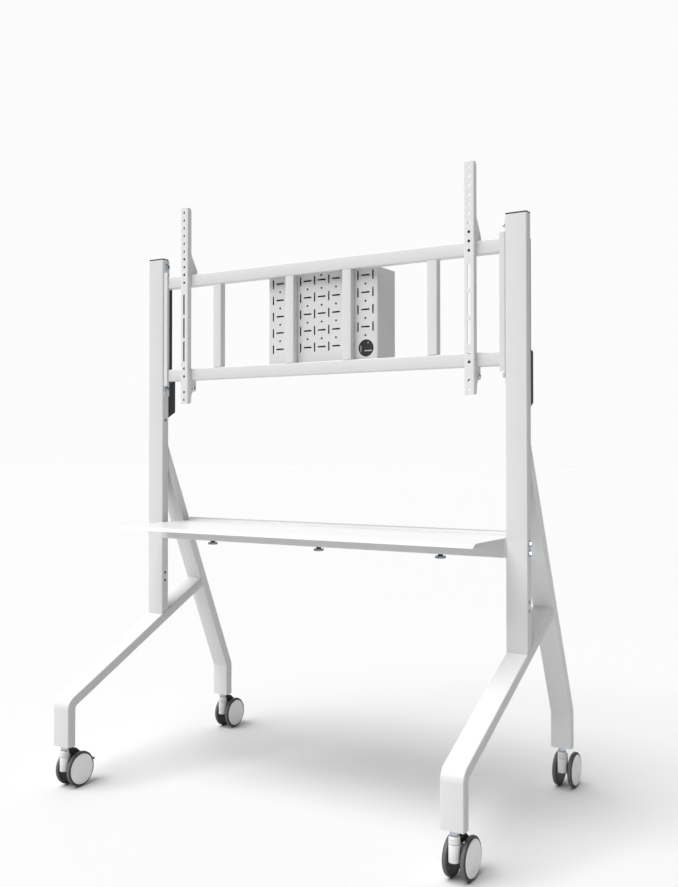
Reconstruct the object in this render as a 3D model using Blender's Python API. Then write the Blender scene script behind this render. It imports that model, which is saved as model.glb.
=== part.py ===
"""Mobile screen cart: two columns on splayed legs, a screen frame that can be bolted at two
heights, a shelf, a media box behind the frame and four swivelling twin-wheel casters.

Units are metres. X runs to the right, Y to the back and Z up. The origin is on the floor in
the middle of the footprint. Inside the model, y = 0 is the columns' front face: the empty
"cart" shifts everything so that the footprint is centred.
"""
import math

import bmesh
import bpy
from mathutils import Matrix

MM = 0.001

# General
GAP = 0.3 * MM                      # clearance between pieces that touch
TUBE_WALL = 2.0 * MM
WHEEL_SIDES = 30
PIN_SIDES = 16
HOLE_SIDES = 8

# Columns
CART_WIDTH = 1305.0 * MM            # outer face to outer face
COLUMN_WIDTH = 60.0 * MM
COLUMN_DEPTH = 30.0 * MM
COLUMN_TOP = 1610.0 * MM
CAP_THICKNESS = 4.0 * MM
CAP_PLUG_DEPTH = 20.0 * MM
BOLT_HOLE_RADIUS = 4.5 * MM
BOLT_CLEARANCE = 0.3 * MM
BOLT_HEAD_RADIUS = 7.5 * MM
BOLT_HEAD_HEIGHT = 5.5 * MM
WASHER_RADIUS = 10.0 * MM
WASHER_THICKNESS = 1.7 * MM

# Legs: bent flat tube, as wide as the columns
LEG_THICKNESS = 30.0 * MM
LEG_BEND_RADIUS = 25.0 * MM         # on the centre line
LEG_BEND_STEPS = 6
FOOT_BOTTOM = 124.3 * MM
FOOT_PLATE = 6.0 * MM
FRONT_FOOT_REACH = 405.0 * MM       # foot's front face ahead of the columns' front face
REAR_FOOT_REACH = 341.5 * MM        # foot's front face behind the columns' front face
FRONT_LEG_ANGLE = math.radians(26.1)    # above the horizontal
REAR_LEG_ANGLE = math.radians(23.9)     # away from the vertical
FRONT_LEG_HEIGHT = 455.8 * MM       # upper face at the columns' front face
REAR_LEG_TOP = 1003.0 * MM          # rear face at the columns' rear face

# Screen frame
FRAME_SETBACK = 7.0 * MM            # behind the columns' front face
RAIL_HEIGHT = 38.0 * MM
RAIL_DEPTH = 24.0 * MM
BOTTOM_RAIL_Z = 1211.5 * MM
TOP_RAIL_Z = 1513.0 * MM
STRUT_WIDTH = 30.0 * MM
INNER_STRUT_X = 100.0 * MM
OUTER_STRUT_X = 375.0 * MM
END_PLATE_THICKNESS = 3.0 * MM
END_PLATE_MARGIN = 23.0 * MM        # past each bolt
END_FLANGE_WIDTH = 16.7 * MM        # front flange of the angle, over its fold
END_FLANGE_FOLD = 5.0 * MM          # outer radius of the fold
END_FLANGE_GAP = 2.0 * MM           # in front of the rails
END_PLATE_RAISE = 5.0 * MM          # above the middle of the rails
END_FLANGE_OVERHANG = 15.0 * MM     # past each rail
FRAME_BOLT_REACH = 15.25 * MM       # past each end of the flange
FRAME_DROP = 100.0 * MM             # distance to the lower set of holes

# Screen brackets
BRACKET_INSET = 81.7 * MM           # middle of the bracket from the end flange
BRACKET_WIDTH = 30.0 * MM
BRACKET_DEPTH = 17.7 * MM
BRACKET_SHEET = 2.5 * MM
BRACKET_HEAD = 148.3 * MM           # above the hook's gusset
BRACKET_FOOT = 14.9 * MM            # below the catch's taper
BRACKET_PITCH = 25.0 * MM
BRACKET_HOLE_RADIUS = 4.25 * MM
BRACKET_UPPER_HOLES = 10
BRACKET_UPPER_MARGIN = 14.6 * MM    # highest hole below the bracket's top
BRACKET_LOWER_HOLES = (0, 1, 3, 4)  # pitches above the lowest hole
BRACKET_LOWER_MARGIN = 12.4 * MM    # lowest hole above the bracket's bottom
BRACKET_SLOTS = (6.2, 9.2, 12.2)    # pitches above the lowest hole
BRACKET_SLOT_LENGTH = 66.0 * MM
HOOK_RISE = 64.0 * MM               # gusset above the top rail
HOOK_CORNER_RISE = 15.0 * MM
HOOK_THICKNESS = 6.0 * MM
HOOK_DROP = 22.0 * MM               # behind the top rail
CATCH_DROP = 34.0 * MM              # below the bottom rail
CATCH_DEPTH = 25.0 * MM             # behind the bracket's flange
CATCH_FILLET = 12.0 * MM
CATCH_TAPER = 26.0 * MM
CATCH_SCREW_DROP = 25.0 * MM
CATCH_SCREW_INSET = 12.0 * MM       # ahead of the catch's rear edge
CATCH_SCREW_END = 3.0 * MM
CATCH_HEAD_RADIUS = 6.5 * MM
CATCH_HEAD_HEIGHT = 5.0 * MM
CATCH_NUT_RADIUS = 7.2 * MM
CATCH_NUT_HEIGHT = 5.0 * MM
BRACKET_CORNER = 8.0 * MM

# Media box behind the two inner struts
BOX_WIDTH = 380.0 * MM
BOX_HEIGHT = 270.0 * MM
BOX_BOTTOM = 1249.0 * MM
BOX_DEPTH = 106.0 * MM
BOX_SHEET = 1.5 * MM
DOOR_LIP = 10.0 * MM
DOOR_LIP_INSET = 3.0 * MM
PATTERN_PITCH = 50.0 * MM
PATTERN_EDGE = 10.0 * MM            # least distance to the panel's edge
PATTERN_TOP_MARGIN = 23.4 * MM      # middle of the top row below the panel's top
SLOT_LENGTH = 28.0 * MM
SLOT_WIDTH = 4.5 * MM
ROUND_HOLE_RADIUS = 2.7 * MM
CABLE_HOLE_INSET = 38.0 * MM        # its centre from the panel's side
CABLE_HOLE_RAISE = 34.5 * MM        # and from the panel's bottom
CABLE_HOLE_RADIUS = 25.0 * MM
GROMMET_WALL = 2.0 * MM
GROMMET_FLANGE = 1.5 * MM
LOCK_RADIUS = 8.0 * MM
LOCK_HEAD_RADIUS = 11.0 * MM
LOCK_HEAD_HEIGHT = 4.0 * MM
LOCK_EDGE_DISTANCE = 30.0 * MM
LOCK_CAM_LENGTH = 24.0 * MM
LOCK_CAM_WIDTH = 12.0 * MM
LOCK_CAM_THICKNESS = 2.0 * MM

# Cable channel on the back of each column
CHANNEL_WIDTH = 40.0 * MM
CHANNEL_WALL = 2.0 * MM
CHANNEL_DEPTH = 28.0 * MM
CHANNEL_OUTLET_DEPTH = 44.0 * MM
CHANNEL_TOP = 1552.0 * MM
CHANNEL_BOTTOM = 1089.6 * MM
CHANNEL_STEP_Z = 1252.0 * MM
CHANNEL_SLANT = 0.54                # rise of the slanted ends per unit of depth
CHANNEL_CHAMFER = 3.0 * MM

# Shelf
SHELF_DROP = 150.0 * MM             # distance to the lower set of holes
CROSSBAR_HEIGHT = 50.0 * MM
CROSSBAR_BOTTOM = 702.9 * MM
CROSSBAR_END_PLATE = 4.0 * MM
SHELF_BOLT_SPAN = 25.0 * MM
TRAY_SIDE_GAP = 4.0 * MM
TRAY_SHEET = 2.0 * MM
TRAY_FRONT_REACH = 206.0 * MM
TRAY_REAR_REACH = 135.0 * MM
TRAY_FLANGE = 11.0 * MM
TRAY_NOSE = 24.0 * MM
TRAY_NOSE_STEP = 13.0 * MM
TRAY_NOSE_FALL = 2.0 * MM
TRAY_LIP = 9.5 * MM
KNOB_X = 396.0 * MM
KNOB_RADIUS = 15.0 * MM
KNOB_THICKNESS = 7.0 * MM
KNOB_CHAMFER = 1.5 * MM
KNOB_COLLAR_RADIUS = 6.5 * MM
KNOB_COLLAR_HEIGHT = 5.0 * MM
KNOB_THREAD_RADIUS = 3.0 * MM

# Casters
WHEEL_RADIUS = 50.8 * MM
WHEEL_FACE_RADIUS = 43.4 * MM
WHEEL_FACE_STEP = 1.2 * MM          # tyre's side behind the raised face
WHEEL_SHOULDER = 2.5 * MM
WHEEL_HUB_WALL = 4.0 * MM           # outside the blind bore
WHEEL_TRACK = 60.0 * MM             # outer face to outer face
WHEEL_THICKNESS = 13.7 * MM
CASTER_TRAIL = 41.0 * MM
AXLE_RADIUS = 3.7 * MM
BORE_CLEARANCE = 0.15 * MM
PILLAR_RADIUS = 13.4 * MM
PILLAR_TOP = 111.0 * MM
PILLAR_BOTTOM = 52.0 * MM
PILLAR_CHAMFER = 1.5 * MM
PILLAR_GROOVE_Z = 93.0 * MM
PILLAR_GROOVE = 1.0 * MM
STEM_RADIUS = 5.0 * MM
STEM_CLEARANCE = 0.15 * MM
NUT_RADIUS = 11.0 * MM
STEM_RISE = 26.0 * MM               # into the foot
STEM_SOCKET = 42.0 * MM             # into the pillar
ARM_WIDTH = 22.0 * MM
ARM_WEB = 9.0 * MM
ARM_SHOULDER_WIDTH = 20.0 * MM
ARM_SHOULDER_TOP = 100.0 * MM
ARM_SHOULDER_GAP = 1.0 * MM         # ahead of the pedal's hood
BOSS_RADIUS = 14.0 * MM
PEDAL_WIDTH = 22.0 * MM
PEDAL_HINGE_Y = 31.0 * MM           # behind the stem
PEDAL_HINGE_Z = 94.0 * MM
PEDAL_PIN_RADIUS = 2.0 * MM
PEDAL_EYE_WALL = 4.0 * MM
PEDAL_HOOD_FRONT = 16.5 * MM        # ahead of the hinge
PEDAL_HOOD_BACK = 17.0 * MM
PEDAL_HOOD_HEIGHT = 19.0 * MM       # above the hinge
PEDAL_HOOD_SKIRT = 7.0 * MM         # below the hinge
PEDAL_TONGUE_THICKNESS = 5.0 * MM
PEDAL_TIP_Y = 112.0 * MM
PEDAL_TIP_Z = 63.0 * MM

# Derived positions
COLUMN_OUTER_X = CART_WIDTH / 2
COLUMN_INNER_X = COLUMN_OUTER_X - COLUMN_WIDTH
COLUMN_X = COLUMN_OUTER_X - COLUMN_WIDTH / 2
FRAME_END_X = COLUMN_INNER_X - GAP
PLATE_X = FRAME_END_X - END_PLATE_THICKNESS
RAIL_END_X = PLATE_X - GAP
FLANGE_FRONT = FRAME_SETBACK - END_FLANGE_GAP - END_PLATE_THICKNESS
FLANGE_EDGE_X = FRAME_END_X - END_FLANGE_WIDTH
BRACKET_X = FLANGE_EDGE_X - BRACKET_INSET
FRAME_BACK = FRAME_SETBACK + RAIL_DEPTH
BOTTOM_RAIL_TOP = BOTTOM_RAIL_Z + RAIL_HEIGHT
TOP_RAIL_TOP = TOP_RAIL_Z + RAIL_HEIGHT
FRAME_CENTRE_Z = (BOTTOM_RAIL_Z + TOP_RAIL_TOP) / 2 + END_PLATE_RAISE
END_FLANGE_LENGTH = TOP_RAIL_TOP - BOTTOM_RAIL_Z + 2 * END_FLANGE_OVERHANG
FRAME_BOLT_SPAN = END_FLANGE_LENGTH + 2 * FRAME_BOLT_REACH
END_PLATE_LENGTH = FRAME_BOLT_SPAN + 2 * END_PLATE_MARGIN
BRACKET_TOP = TOP_RAIL_TOP + HOOK_RISE + BRACKET_HEAD
CATCH_TOP = BOTTOM_RAIL_Z - GAP
CATCH_LOW = CATCH_TOP - CATCH_DROP
BRACKET_BOTTOM = CATCH_LOW - CATCH_TAPER - BRACKET_FOOT
BRACKET_BACK = FRAME_SETBACK - GAP
BRACKET_FRONT = BRACKET_BACK - BRACKET_DEPTH
BOX_FRONT = FRAME_BACK + GAP
BOX_BACK = BOX_FRONT + BOX_DEPTH
BOX_TOP = BOX_BOTTOM + BOX_HEIGHT
PATTERN_TOP_Z = BOX_TOP - PATTERN_TOP_MARGIN
PATTERN_COLUMNS = 1 + int((BOX_WIDTH - SLOT_WIDTH - 2 * PATTERN_EDGE) / PATTERN_PITCH)
PATTERN_ROWS = 1 + int((BOX_HEIGHT - PATTERN_TOP_MARGIN - SLOT_LENGTH / 2 - PATTERN_EDGE)
                       / PATTERN_PITCH)
CABLE_HOLE_X = BOX_WIDTH / 2 - CABLE_HOLE_INSET
CABLE_HOLE_Z = BOX_BOTTOM + CABLE_HOLE_RAISE
CROSSBAR_TOP = CROSSBAR_BOTTOM + CROSSBAR_HEIGHT
SHELF_BOLT_Z = CROSSBAR_BOTTOM + CROSSBAR_HEIGHT / 2
TRAY_TOP = CROSSBAR_TOP + GAP + TRAY_SHEET
TRAY_EDGE_X = COLUMN_INNER_X - TRAY_SIDE_GAP
WHEEL_X = WHEEL_TRACK / 2
FRONT_CASTER_Y = LEG_THICKNESS / 2 - FRONT_FOOT_REACH
REAR_CASTER_Y = LEG_THICKNESS / 2 + REAR_FOOT_REACH
FOOTPRINT_BACK = REAR_CASTER_Y + PEDAL_TIP_Y
CART_Y = (FRONT_FOOT_REACH - FOOTPRINT_BACK) / 2

AXES = {"X": (1, 2, 0), "Y": (0, 2, 1), "Z": (0, 1, 2)}


# Shapes

def clear_scene():
    for old in list(bpy.data.objects):
        bpy.data.objects.remove(old)


def finished_mesh(shape):
    """Mesh of a bmesh whose faces all point out."""
    bmesh.ops.recalc_face_normals(shape, faces=shape.faces)
    mesh = bpy.data.meshes.new("shape")
    shape.to_mesh(mesh)
    shape.free()
    return mesh


def arc_points(centre, radius, start_angle, end_angle, steps):
    points = []
    for i in range(steps + 1):
        angle = math.radians(start_angle + (end_angle - start_angle) * i / steps)
        points.append((centre[0] + radius * math.cos(angle), centre[1] + radius * math.sin(angle)))
    return points


def prism(outline, axis, start, end):
    """Closed solid: an outline drawn across an axis, extruded from start to end along it."""
    across, up, along = AXES[axis]
    shape = bmesh.new()
    rings = []
    for level in (start, end):
        ring = []
        for a, b in outline:
            place = [0.0, 0.0, 0.0]
            place[across], place[up], place[along] = a, b, level
            ring.append(shape.verts.new(place))
        rings.append(ring)
    shape.faces.new(rings[0])
    shape.faces.new(rings[1])
    count = len(outline)
    for i in range(count):
        j = (i + 1) % count
        shape.faces.new((rings[0][i], rings[0][j], rings[1][j], rings[1][i]))
    return finished_mesh(shape)


def block(x, y, z):
    """Box from three (low, high) pairs."""
    outline = [(x[0], y[0]), (x[1], y[0]), (x[1], y[1]), (x[0], y[1])]
    return prism(outline, "Z", z[0], z[1])


def circle(radius, sides, centre=(0.0, 0.0)):
    """Polygon points of a circle, with a flat side, not a corner, at the bottom."""
    points = []
    for i in range(sides):
        angle = 2 * math.pi * (i + 0.5) / sides - math.pi / 2
        points.append((centre[0] + radius * math.cos(angle), centre[1] + radius * math.sin(angle)))
    return points


def rod(radius, axis, start, end, centre=(0.0, 0.0), sides=HOLE_SIDES):
    return prism(circle(radius, sides, centre), axis, start, end)


def turned(profile, axis, sides=WHEEL_SIDES, closed=False):
    """Solid of revolution about an axis through the origin, from (radius, height) points."""
    across, up, along = AXES[axis]
    shape = bmesh.new()
    rings = []
    for radius, height in profile:
        ring = []
        for a, b in circle(radius, sides):
            place = [0.0, 0.0, 0.0]
            place[across], place[up], place[along] = a, b, height
            ring.append(shape.verts.new(place))
        rings.append(ring)
    pairs = list(zip(rings, rings[1:]))
    if closed:
        pairs.append((rings[-1], rings[0]))
    else:
        shape.faces.new(rings[0])
        shape.faces.new(rings[-1])
    for low, high in pairs:
        for i in range(sides):
            j = (i + 1) % sides
            shape.faces.new((low[i], low[j], high[j], high[i]))
    return finished_mesh(shape)


def moved(mesh, x=0.0, y=0.0, z=0.0):
    mesh.transform(Matrix.Translation((x, y, z)))
    return mesh


def merged(meshes):
    """One mesh that holds several closed shapes which do not touch."""
    shape = bmesh.new()
    for mesh in meshes:
        shape.from_mesh(mesh)
    result = bpy.data.meshes.new("shapes")
    shape.to_mesh(result)
    shape.free()
    return result


def boolean(base, tool, operation):
    """Mesh of a Boolean between two meshes, worked out on two objects made for it."""
    scene = bpy.context.scene.collection
    target = bpy.data.objects.new("target", base)
    cutter = bpy.data.objects.new("cutter", tool)
    for piece in (target, cutter):
        scene.objects.link(piece)
    cutter.hide_render = True
    cutter.display_type = "WIRE"
    modifier = target.modifiers.new("boolean", "BOOLEAN")
    modifier.operation = operation
    modifier.solver = "EXACT"
    modifier.object = cutter
    bpy.context.view_layer.update()
    graph = bpy.context.evaluated_depsgraph_get()
    result = bpy.data.meshes.new_from_object(target.evaluated_get(graph))
    for piece in (target, cutter):
        bpy.data.objects.remove(piece)
    return result


def cut(base, *tools):
    return boolean(base, merged(tools), "DIFFERENCE")


def joined(base, *extras):
    for extra in extras:
        base = boolean(base, extra, "UNION")
    return base


def mirrored(mesh):
    """Copy of a mesh mirrored to the other side of x = 0."""
    shape = bmesh.new()
    shape.from_mesh(mesh)
    for vert in shape.verts:
        vert.co.x = -vert.co.x
    bmesh.ops.reverse_faces(shape, faces=shape.faces)
    result = bpy.data.meshes.new("mirrored")
    shape.to_mesh(result)
    shape.free()
    return result


# Objects and materials

def material(name, colour, roughness, metallic):
    made = bpy.data.materials.get(name)
    if made:
        return made
    made = bpy.data.materials.new(name)
    made.use_nodes = True
    shader = made.node_tree.nodes["Principled BSDF"]
    shader.inputs["Base Color"].default_value = (*colour, 1.0)
    shader.inputs["Roughness"].default_value = roughness
    shader.inputs["Metallic"].default_value = metallic
    return made


def white_coat(kind):
    return material(kind + "_coat", (0.72, 0.72, 0.72), 0.5, 0.0)


def black_plastic(kind):
    return material(kind + "_plastic", (0.02, 0.02, 0.02), 0.55, 0.0)


def zinc(kind):
    return material(kind + "_zinc", (0.62, 0.66, 0.7), 0.3, 1.0)


def empty(name, parent, location):
    made = bpy.data.objects.new(name, None)
    bpy.context.scene.collection.objects.link(made)
    made.parent = parent
    made.location = location
    return made


def piece(name, mesh, surface, parent, location=(0.0, 0.0, 0.0)):
    made = bpy.data.objects.new(name, mesh)
    bpy.context.scene.collection.objects.link(made)
    made.parent = parent
    made.location = location
    mesh.materials.clear()
    mesh.materials.append(surface)
    mesh.shade_smooth()
    mesh.set_sharp_from_angle(angle=math.radians(30))
    return made


def side_name(side):
    return "right" if side > 0 else "left"


# Legs

def crossing(point, direction, other_point, other_direction):
    """Where two lines in a plane meet."""
    px, pz = point
    dx, dz = direction
    qx, qz = other_point
    ex, ez = other_direction
    scale = dx * ez - dz * ex
    t = ((qx - px) * ez - (qz - pz) * ex) / scale
    return (px + t * dx, pz + t * dz)


def bend_arc(corner, radius, start_angle, end_angle, bend_angle, inward):
    """Round a corner: arc points about the bend's centre, which lies along the inward angle."""
    reach = LEG_BEND_RADIUS / math.cos(bend_angle / 2)
    centre = (corner[0] + reach * math.cos(inward), corner[1] + reach * math.sin(inward))
    points = []
    for i in range(LEG_BEND_STEPS + 1):
        angle = start_angle + (end_angle - start_angle) * i / LEG_BEND_STEPS
        points.append((centre[0] + radius * math.cos(angle), centre[1] + radius * math.sin(angle)))
    return points


def front_leg_face(half):
    """Point on the sloping run's upper (half > 0) or lower face, and the run's direction."""
    slope = (math.cos(FRONT_LEG_ANGLE), math.sin(FRONT_LEG_ANGLE))
    middle = FRONT_LEG_HEIGHT - LEG_THICKNESS / 2 / slope[0]
    return (0.0, middle + half / slope[0]), slope


def rear_leg_face(half):
    """Point on the sloping run's front (half > 0) or rear face, and the run's direction up."""
    slope = (-math.sin(REAR_LEG_ANGLE), math.cos(REAR_LEG_ANGLE))
    shift = LEG_THICKNESS / 2 + half
    return (COLUMN_DEPTH + GAP - shift * slope[1], REAR_LEG_TOP + shift * slope[0]), slope


def front_leg_outline(half, bottom, past_end):
    """Side view (y, z) of the front leg, half a thickness either side of its centre line."""
    middle_point, slope = front_leg_face(0.0)
    corner = crossing(middle_point, slope, (FRONT_CASTER_Y, 0.0), (0.0, 1.0))
    turn = math.pi / 2 - FRONT_LEG_ANGLE
    inward = FRONT_LEG_ANGLE / 2 - math.pi / 4
    end_point, end_slope = rear_leg_face(LEG_THICKNESS / 2)
    end_point = (end_point[0] - GAP + past_end, end_point[1])
    upper_point = front_leg_face(half)[0]
    lower_point = front_leg_face(-half)[0]
    outer = bend_arc(corner, LEG_BEND_RADIUS + half, math.pi, math.pi - turn, turn, inward)
    inner = bend_arc(corner, LEG_BEND_RADIUS - half, math.pi - turn, math.pi, turn, inward)
    outline = [(FRONT_CASTER_Y - half, bottom)] + outer
    outline.append(crossing(upper_point, slope, end_point, end_slope))
    outline.append(crossing(lower_point, slope, end_point, end_slope))
    return outline + inner + [(FRONT_CASTER_Y + half, bottom)]


def rear_leg_outline(half, bottom, past_end):
    """Side view (y, z) of the rear leg, half a thickness either side of its centre line."""
    middle_point, slope = rear_leg_face(0.0)
    corner = crossing(middle_point, slope, (REAR_CASTER_Y, 0.0), (0.0, 1.0))
    turn = REAR_LEG_ANGLE
    inward = math.pi + REAR_LEG_ANGLE / 2
    end_y = COLUMN_DEPTH + GAP - past_end
    front_point = rear_leg_face(half)[0]
    back_point = rear_leg_face(-half)[0]
    outer = bend_arc(corner, LEG_BEND_RADIUS + half, 0.0, turn, turn, inward)
    inner = bend_arc(corner, LEG_BEND_RADIUS - half, turn, 0.0, turn, inward)
    outline = [(REAR_CASTER_Y + half, bottom)] + outer
    outline.append(crossing(back_point, slope, (end_y, 0.0), (0.0, 1.0)))
    outline.append(crossing(front_point, slope, (end_y, 0.0), (0.0, 1.0)))
    return outline + inner + [(REAR_CASTER_Y - half, bottom)]


def leg_mesh(outline_of, caster_y):
    """Hollow bent tube with a drilled plate in its foot and an open upper end."""
    half = LEG_THICKNESS / 2
    width = COLUMN_WIDTH / 2
    outer = prism(outline_of(half, FOOT_BOTTOM, 0.0), "X", -width, width)
    hollow_outline = outline_of(half - TUBE_WALL, FOOT_BOTTOM + FOOT_PLATE, LEG_THICKNESS)
    hollow = prism(hollow_outline, "X", TUBE_WALL - width, width - TUBE_WALL)
    drill = rod(STEM_RADIUS + BOLT_CLEARANCE, "Z", FOOT_BOTTOM - FOOT_PLATE,
                FOOT_BOTTOM + 2 * FOOT_PLATE, (0.0, caster_y), PIN_SIDES)
    return cut(cut(outer, hollow), drill)


def make_legs(cart):
    front = leg_mesh(front_leg_outline, FRONT_CASTER_Y)
    rear = leg_mesh(rear_leg_outline, REAR_CASTER_Y)
    for side in (-1, 1):
        place = (side * COLUMN_X, 0.0, 0.0)
        piece(side_name(side) + "_front_leg", front, white_coat("leg"), cart, place)
        piece(side_name(side) + "_rear_leg", rear, white_coat("leg"), cart, place)


# Columns

def frame_bolt_heights():
    heights = []
    for drop in (0.0, FRAME_DROP):
        for half in (-FRAME_BOLT_SPAN / 2, FRAME_BOLT_SPAN / 2):
            heights.append(FRAME_CENTRE_Z + half - drop)
    return heights


def shelf_bolt_heights():
    heights = []
    for drop in (0.0, SHELF_DROP):
        for half in (-SHELF_BOLT_SPAN / 2, SHELF_BOLT_SPAN / 2):
            heights.append(SHELF_BOLT_Z + half - drop)
    return heights


def column_mesh(side):
    """Hollow column, cut along the leg's slope at its foot and drilled for both heights."""
    half = COLUMN_WIDTH / 2
    foot_point, slope = front_leg_face(LEG_THICKNESS / 2)
    foot = []
    for y in (0.0, COLUMN_DEPTH):
        height = crossing(foot_point, slope, (y, 0.0), (0.0, 1.0))[1]
        foot.append((y, height + GAP / slope[0]))
    outline = foot + [(COLUMN_DEPTH, COLUMN_TOP), (0.0, COLUMN_TOP)]
    tube = prism(outline, "X", -half, half)
    hollow = block((TUBE_WALL - half, half - TUBE_WALL), (TUBE_WALL, COLUMN_DEPTH - TUBE_WALL),
                   (0.0, COLUMN_TOP + COLUMN_DEPTH))
    inner_wall = sorted((-side * (half + TUBE_WALL), -side * (half - 2 * TUBE_WALL)))
    middle = COLUMN_DEPTH / 2
    drills = []
    for height in frame_bolt_heights():
        drills.append(rod(BOLT_HOLE_RADIUS, "X", *inner_wall, (middle, height)))
    for height in shelf_bolt_heights():
        drills.append(rod(BOLT_HOLE_RADIUS, "X", -2 * half, 2 * half, (middle, height)))
    return cut(cut(tube, hollow), *drills)


def cap_mesh():
    """Plate over the column's end with a plug inside the tube."""
    half = COLUMN_WIDTH / 2
    inset = TUBE_WALL + GAP
    plate = block((-half, half), (0.0, COLUMN_DEPTH),
                  (COLUMN_TOP + GAP, COLUMN_TOP + GAP + CAP_THICKNESS))
    plug = block((inset - half, half - inset), (inset, COLUMN_DEPTH - inset),
                 (COLUMN_TOP - CAP_PLUG_DEPTH, COLUMN_TOP + CAP_THICKNESS / 2))
    return joined(plate, plug)


def channel_outline(inset, overrun):
    """Side view (y, z) of the cable channel; overrun opens its front and its mouth."""
    front = COLUMN_DEPTH + GAP
    shallow = front + CHANNEL_DEPTH - inset
    deep = front + CHANNEL_OUTLET_DEPTH - inset
    low = CHANNEL_BOTTOM - overrun
    top = CHANNEL_TOP - inset
    step = CHANNEL_STEP_Z - inset
    start = front - overrun
    return [(start, low + CHANNEL_SLANT * (start - front)),
            (deep, low + CHANNEL_SLANT * (deep - front)),
            (deep, step - CHANNEL_CHAMFER),
            (deep - CHANNEL_CHAMFER, step),
            (shallow, step + CHANNEL_CHAMFER),
            (shallow, top - CHANNEL_CHAMFER),
            (shallow - CHANNEL_CHAMFER, top),
            (start, top)]


def channel_mesh():
    """U-shaped cover, open towards the column and at its lower mouth."""
    half = CHANNEL_WIDTH / 2
    shell = prism(channel_outline(0.0, 0.0), "X", -half, half)
    hollow = prism(channel_outline(CHANNEL_WALL, 4 * CHANNEL_WALL), "X",
                   CHANNEL_WALL - half, half - CHANNEL_WALL)
    return cut(shell, hollow)


def make_columns(cart):
    cap = cap_mesh()
    channel = channel_mesh()
    for side in (-1, 1):
        name = side_name(side)
        place = (side * COLUMN_X, 0.0, 0.0)
        piece(name + "_column", column_mesh(side), white_coat("column"), cart, place)
        piece(name + "_column_cap", cap, black_plastic("column_cap"), cart, place)
        piece(name + "_cable_channel", channel, black_plastic("cable_channel"), cart, place)


# Screen frame

def hollow_bar(x, y, z, axis):
    """Rectangular tube along X or Z, open at both ends."""
    outer = block(x, y, z)
    spans = []
    for name, span in (("X", x), ("Y", y), ("Z", z)):
        grow = -TUBE_WALL if name != axis else TUBE_WALL
        spans.append((span[0] - grow, span[1] + grow))
    return cut(outer, block(*spans))


def make_rails(frame):
    depth = (FRAME_SETBACK, FRAME_BACK)
    span = (-RAIL_END_X, RAIL_END_X)
    for name, low in (("frame_bottom_rail", BOTTOM_RAIL_Z), ("frame_top_rail", TOP_RAIL_Z)):
        rail = hollow_bar(span, depth, (low, low + RAIL_HEIGHT), "X")
        piece(name, rail, white_coat("frame"), frame)
    half = STRUT_WIDTH / 2
    strut = hollow_bar((-half, half), depth, (BOTTOM_RAIL_TOP + GAP, TOP_RAIL_Z - GAP), "Z")
    places = (-OUTER_STRUT_X, -INNER_STRUT_X, INNER_STRUT_X, OUTER_STRUT_X)
    for number, x in enumerate(places, start=1):
        piece("frame_strut_%d" % number, strut, white_coat("frame"), frame, (x, 0.0, 0.0))


def end_frame_mesh():
    """Right end of the frame: folded angle whose plate lies on the column, its flange in front."""
    low = FRAME_CENTRE_Z - END_PLATE_LENGTH / 2
    high = FRAME_CENTRE_Z + END_PLATE_LENGTH / 2
    flange_low = BOTTOM_RAIL_Z - END_FLANGE_OVERHANG
    flange_high = TOP_RAIL_TOP + END_FLANGE_OVERHANG
    front = FLANGE_FRONT
    back = COLUMN_DEPTH - front
    fold = END_FLANGE_FOLD
    outline = [(FRAME_END_X, back), (PLATE_X, back), (PLATE_X, front + END_PLATE_THICKNESS),
               (FLANGE_EDGE_X, front + END_PLATE_THICKNESS), (FLANGE_EDGE_X, front)]
    outline += arc_points((FRAME_END_X - fold, front + fold), fold, -90, 0, 4)
    angle = prism(outline, "Z", flange_low, flange_high)
    tabs = [block((PLATE_X, FRAME_END_X), (front + fold, back), span)
            for span in ((low, flange_low + fold), (flange_high - fold, high))]
    drills = []
    for half in (-FRAME_BOLT_SPAN / 2, FRAME_BOLT_SPAN / 2):
        drills.append(rod(BOLT_HOLE_RADIUS, "X", FLANGE_EDGE_X, COLUMN_OUTER_X,
                          (COLUMN_DEPTH / 2, FRAME_CENTRE_Z + half)))
    return cut(joined(angle, *tabs), *drills)


def bolt_mesh(shank_length):
    """Screw with a washer and a hexagonal head, pointing along +X from the face it holds."""
    radius = BOLT_HOLE_RADIUS - BOLT_CLEARANCE
    seat = -GAP - WASHER_THICKNESS
    shank = turned([(radius, seat - WASHER_THICKNESS), (radius, shank_length)], "X", HOLE_SIDES)
    washer = turned([(WASHER_RADIUS, seat), (WASHER_RADIUS, -GAP)], "X", PIN_SIDES)
    head = turned([(BOLT_HEAD_RADIUS, seat - BOLT_HEAD_HEIGHT),
                   (BOLT_HEAD_RADIUS, seat + WASHER_THICKNESS / 2)], "X", 6)
    return joined(washer, head, shank)


def make_frame_ends(frame):
    end = end_frame_mesh()
    bolt = bolt_mesh(END_PLATE_THICKNESS - GAP)
    meshes = {1: (end, bolt), -1: (mirrored(end), mirrored(bolt))}
    for side in (-1, 1):
        end_piece, bolt_piece = meshes[side]
        name = side_name(side)
        piece("frame_end_" + name, end_piece, white_coat("frame"), frame)
        for level, half in (("lower", -FRAME_BOLT_SPAN / 2), ("upper", FRAME_BOLT_SPAN / 2)):
            place = (side * PLATE_X, COLUMN_DEPTH / 2, FRAME_CENTRE_Z + half)
            piece("frame_bolt_%s_%s" % (name, level), bolt_piece, zinc("bolt"), frame, place)


# Screen brackets

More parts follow.
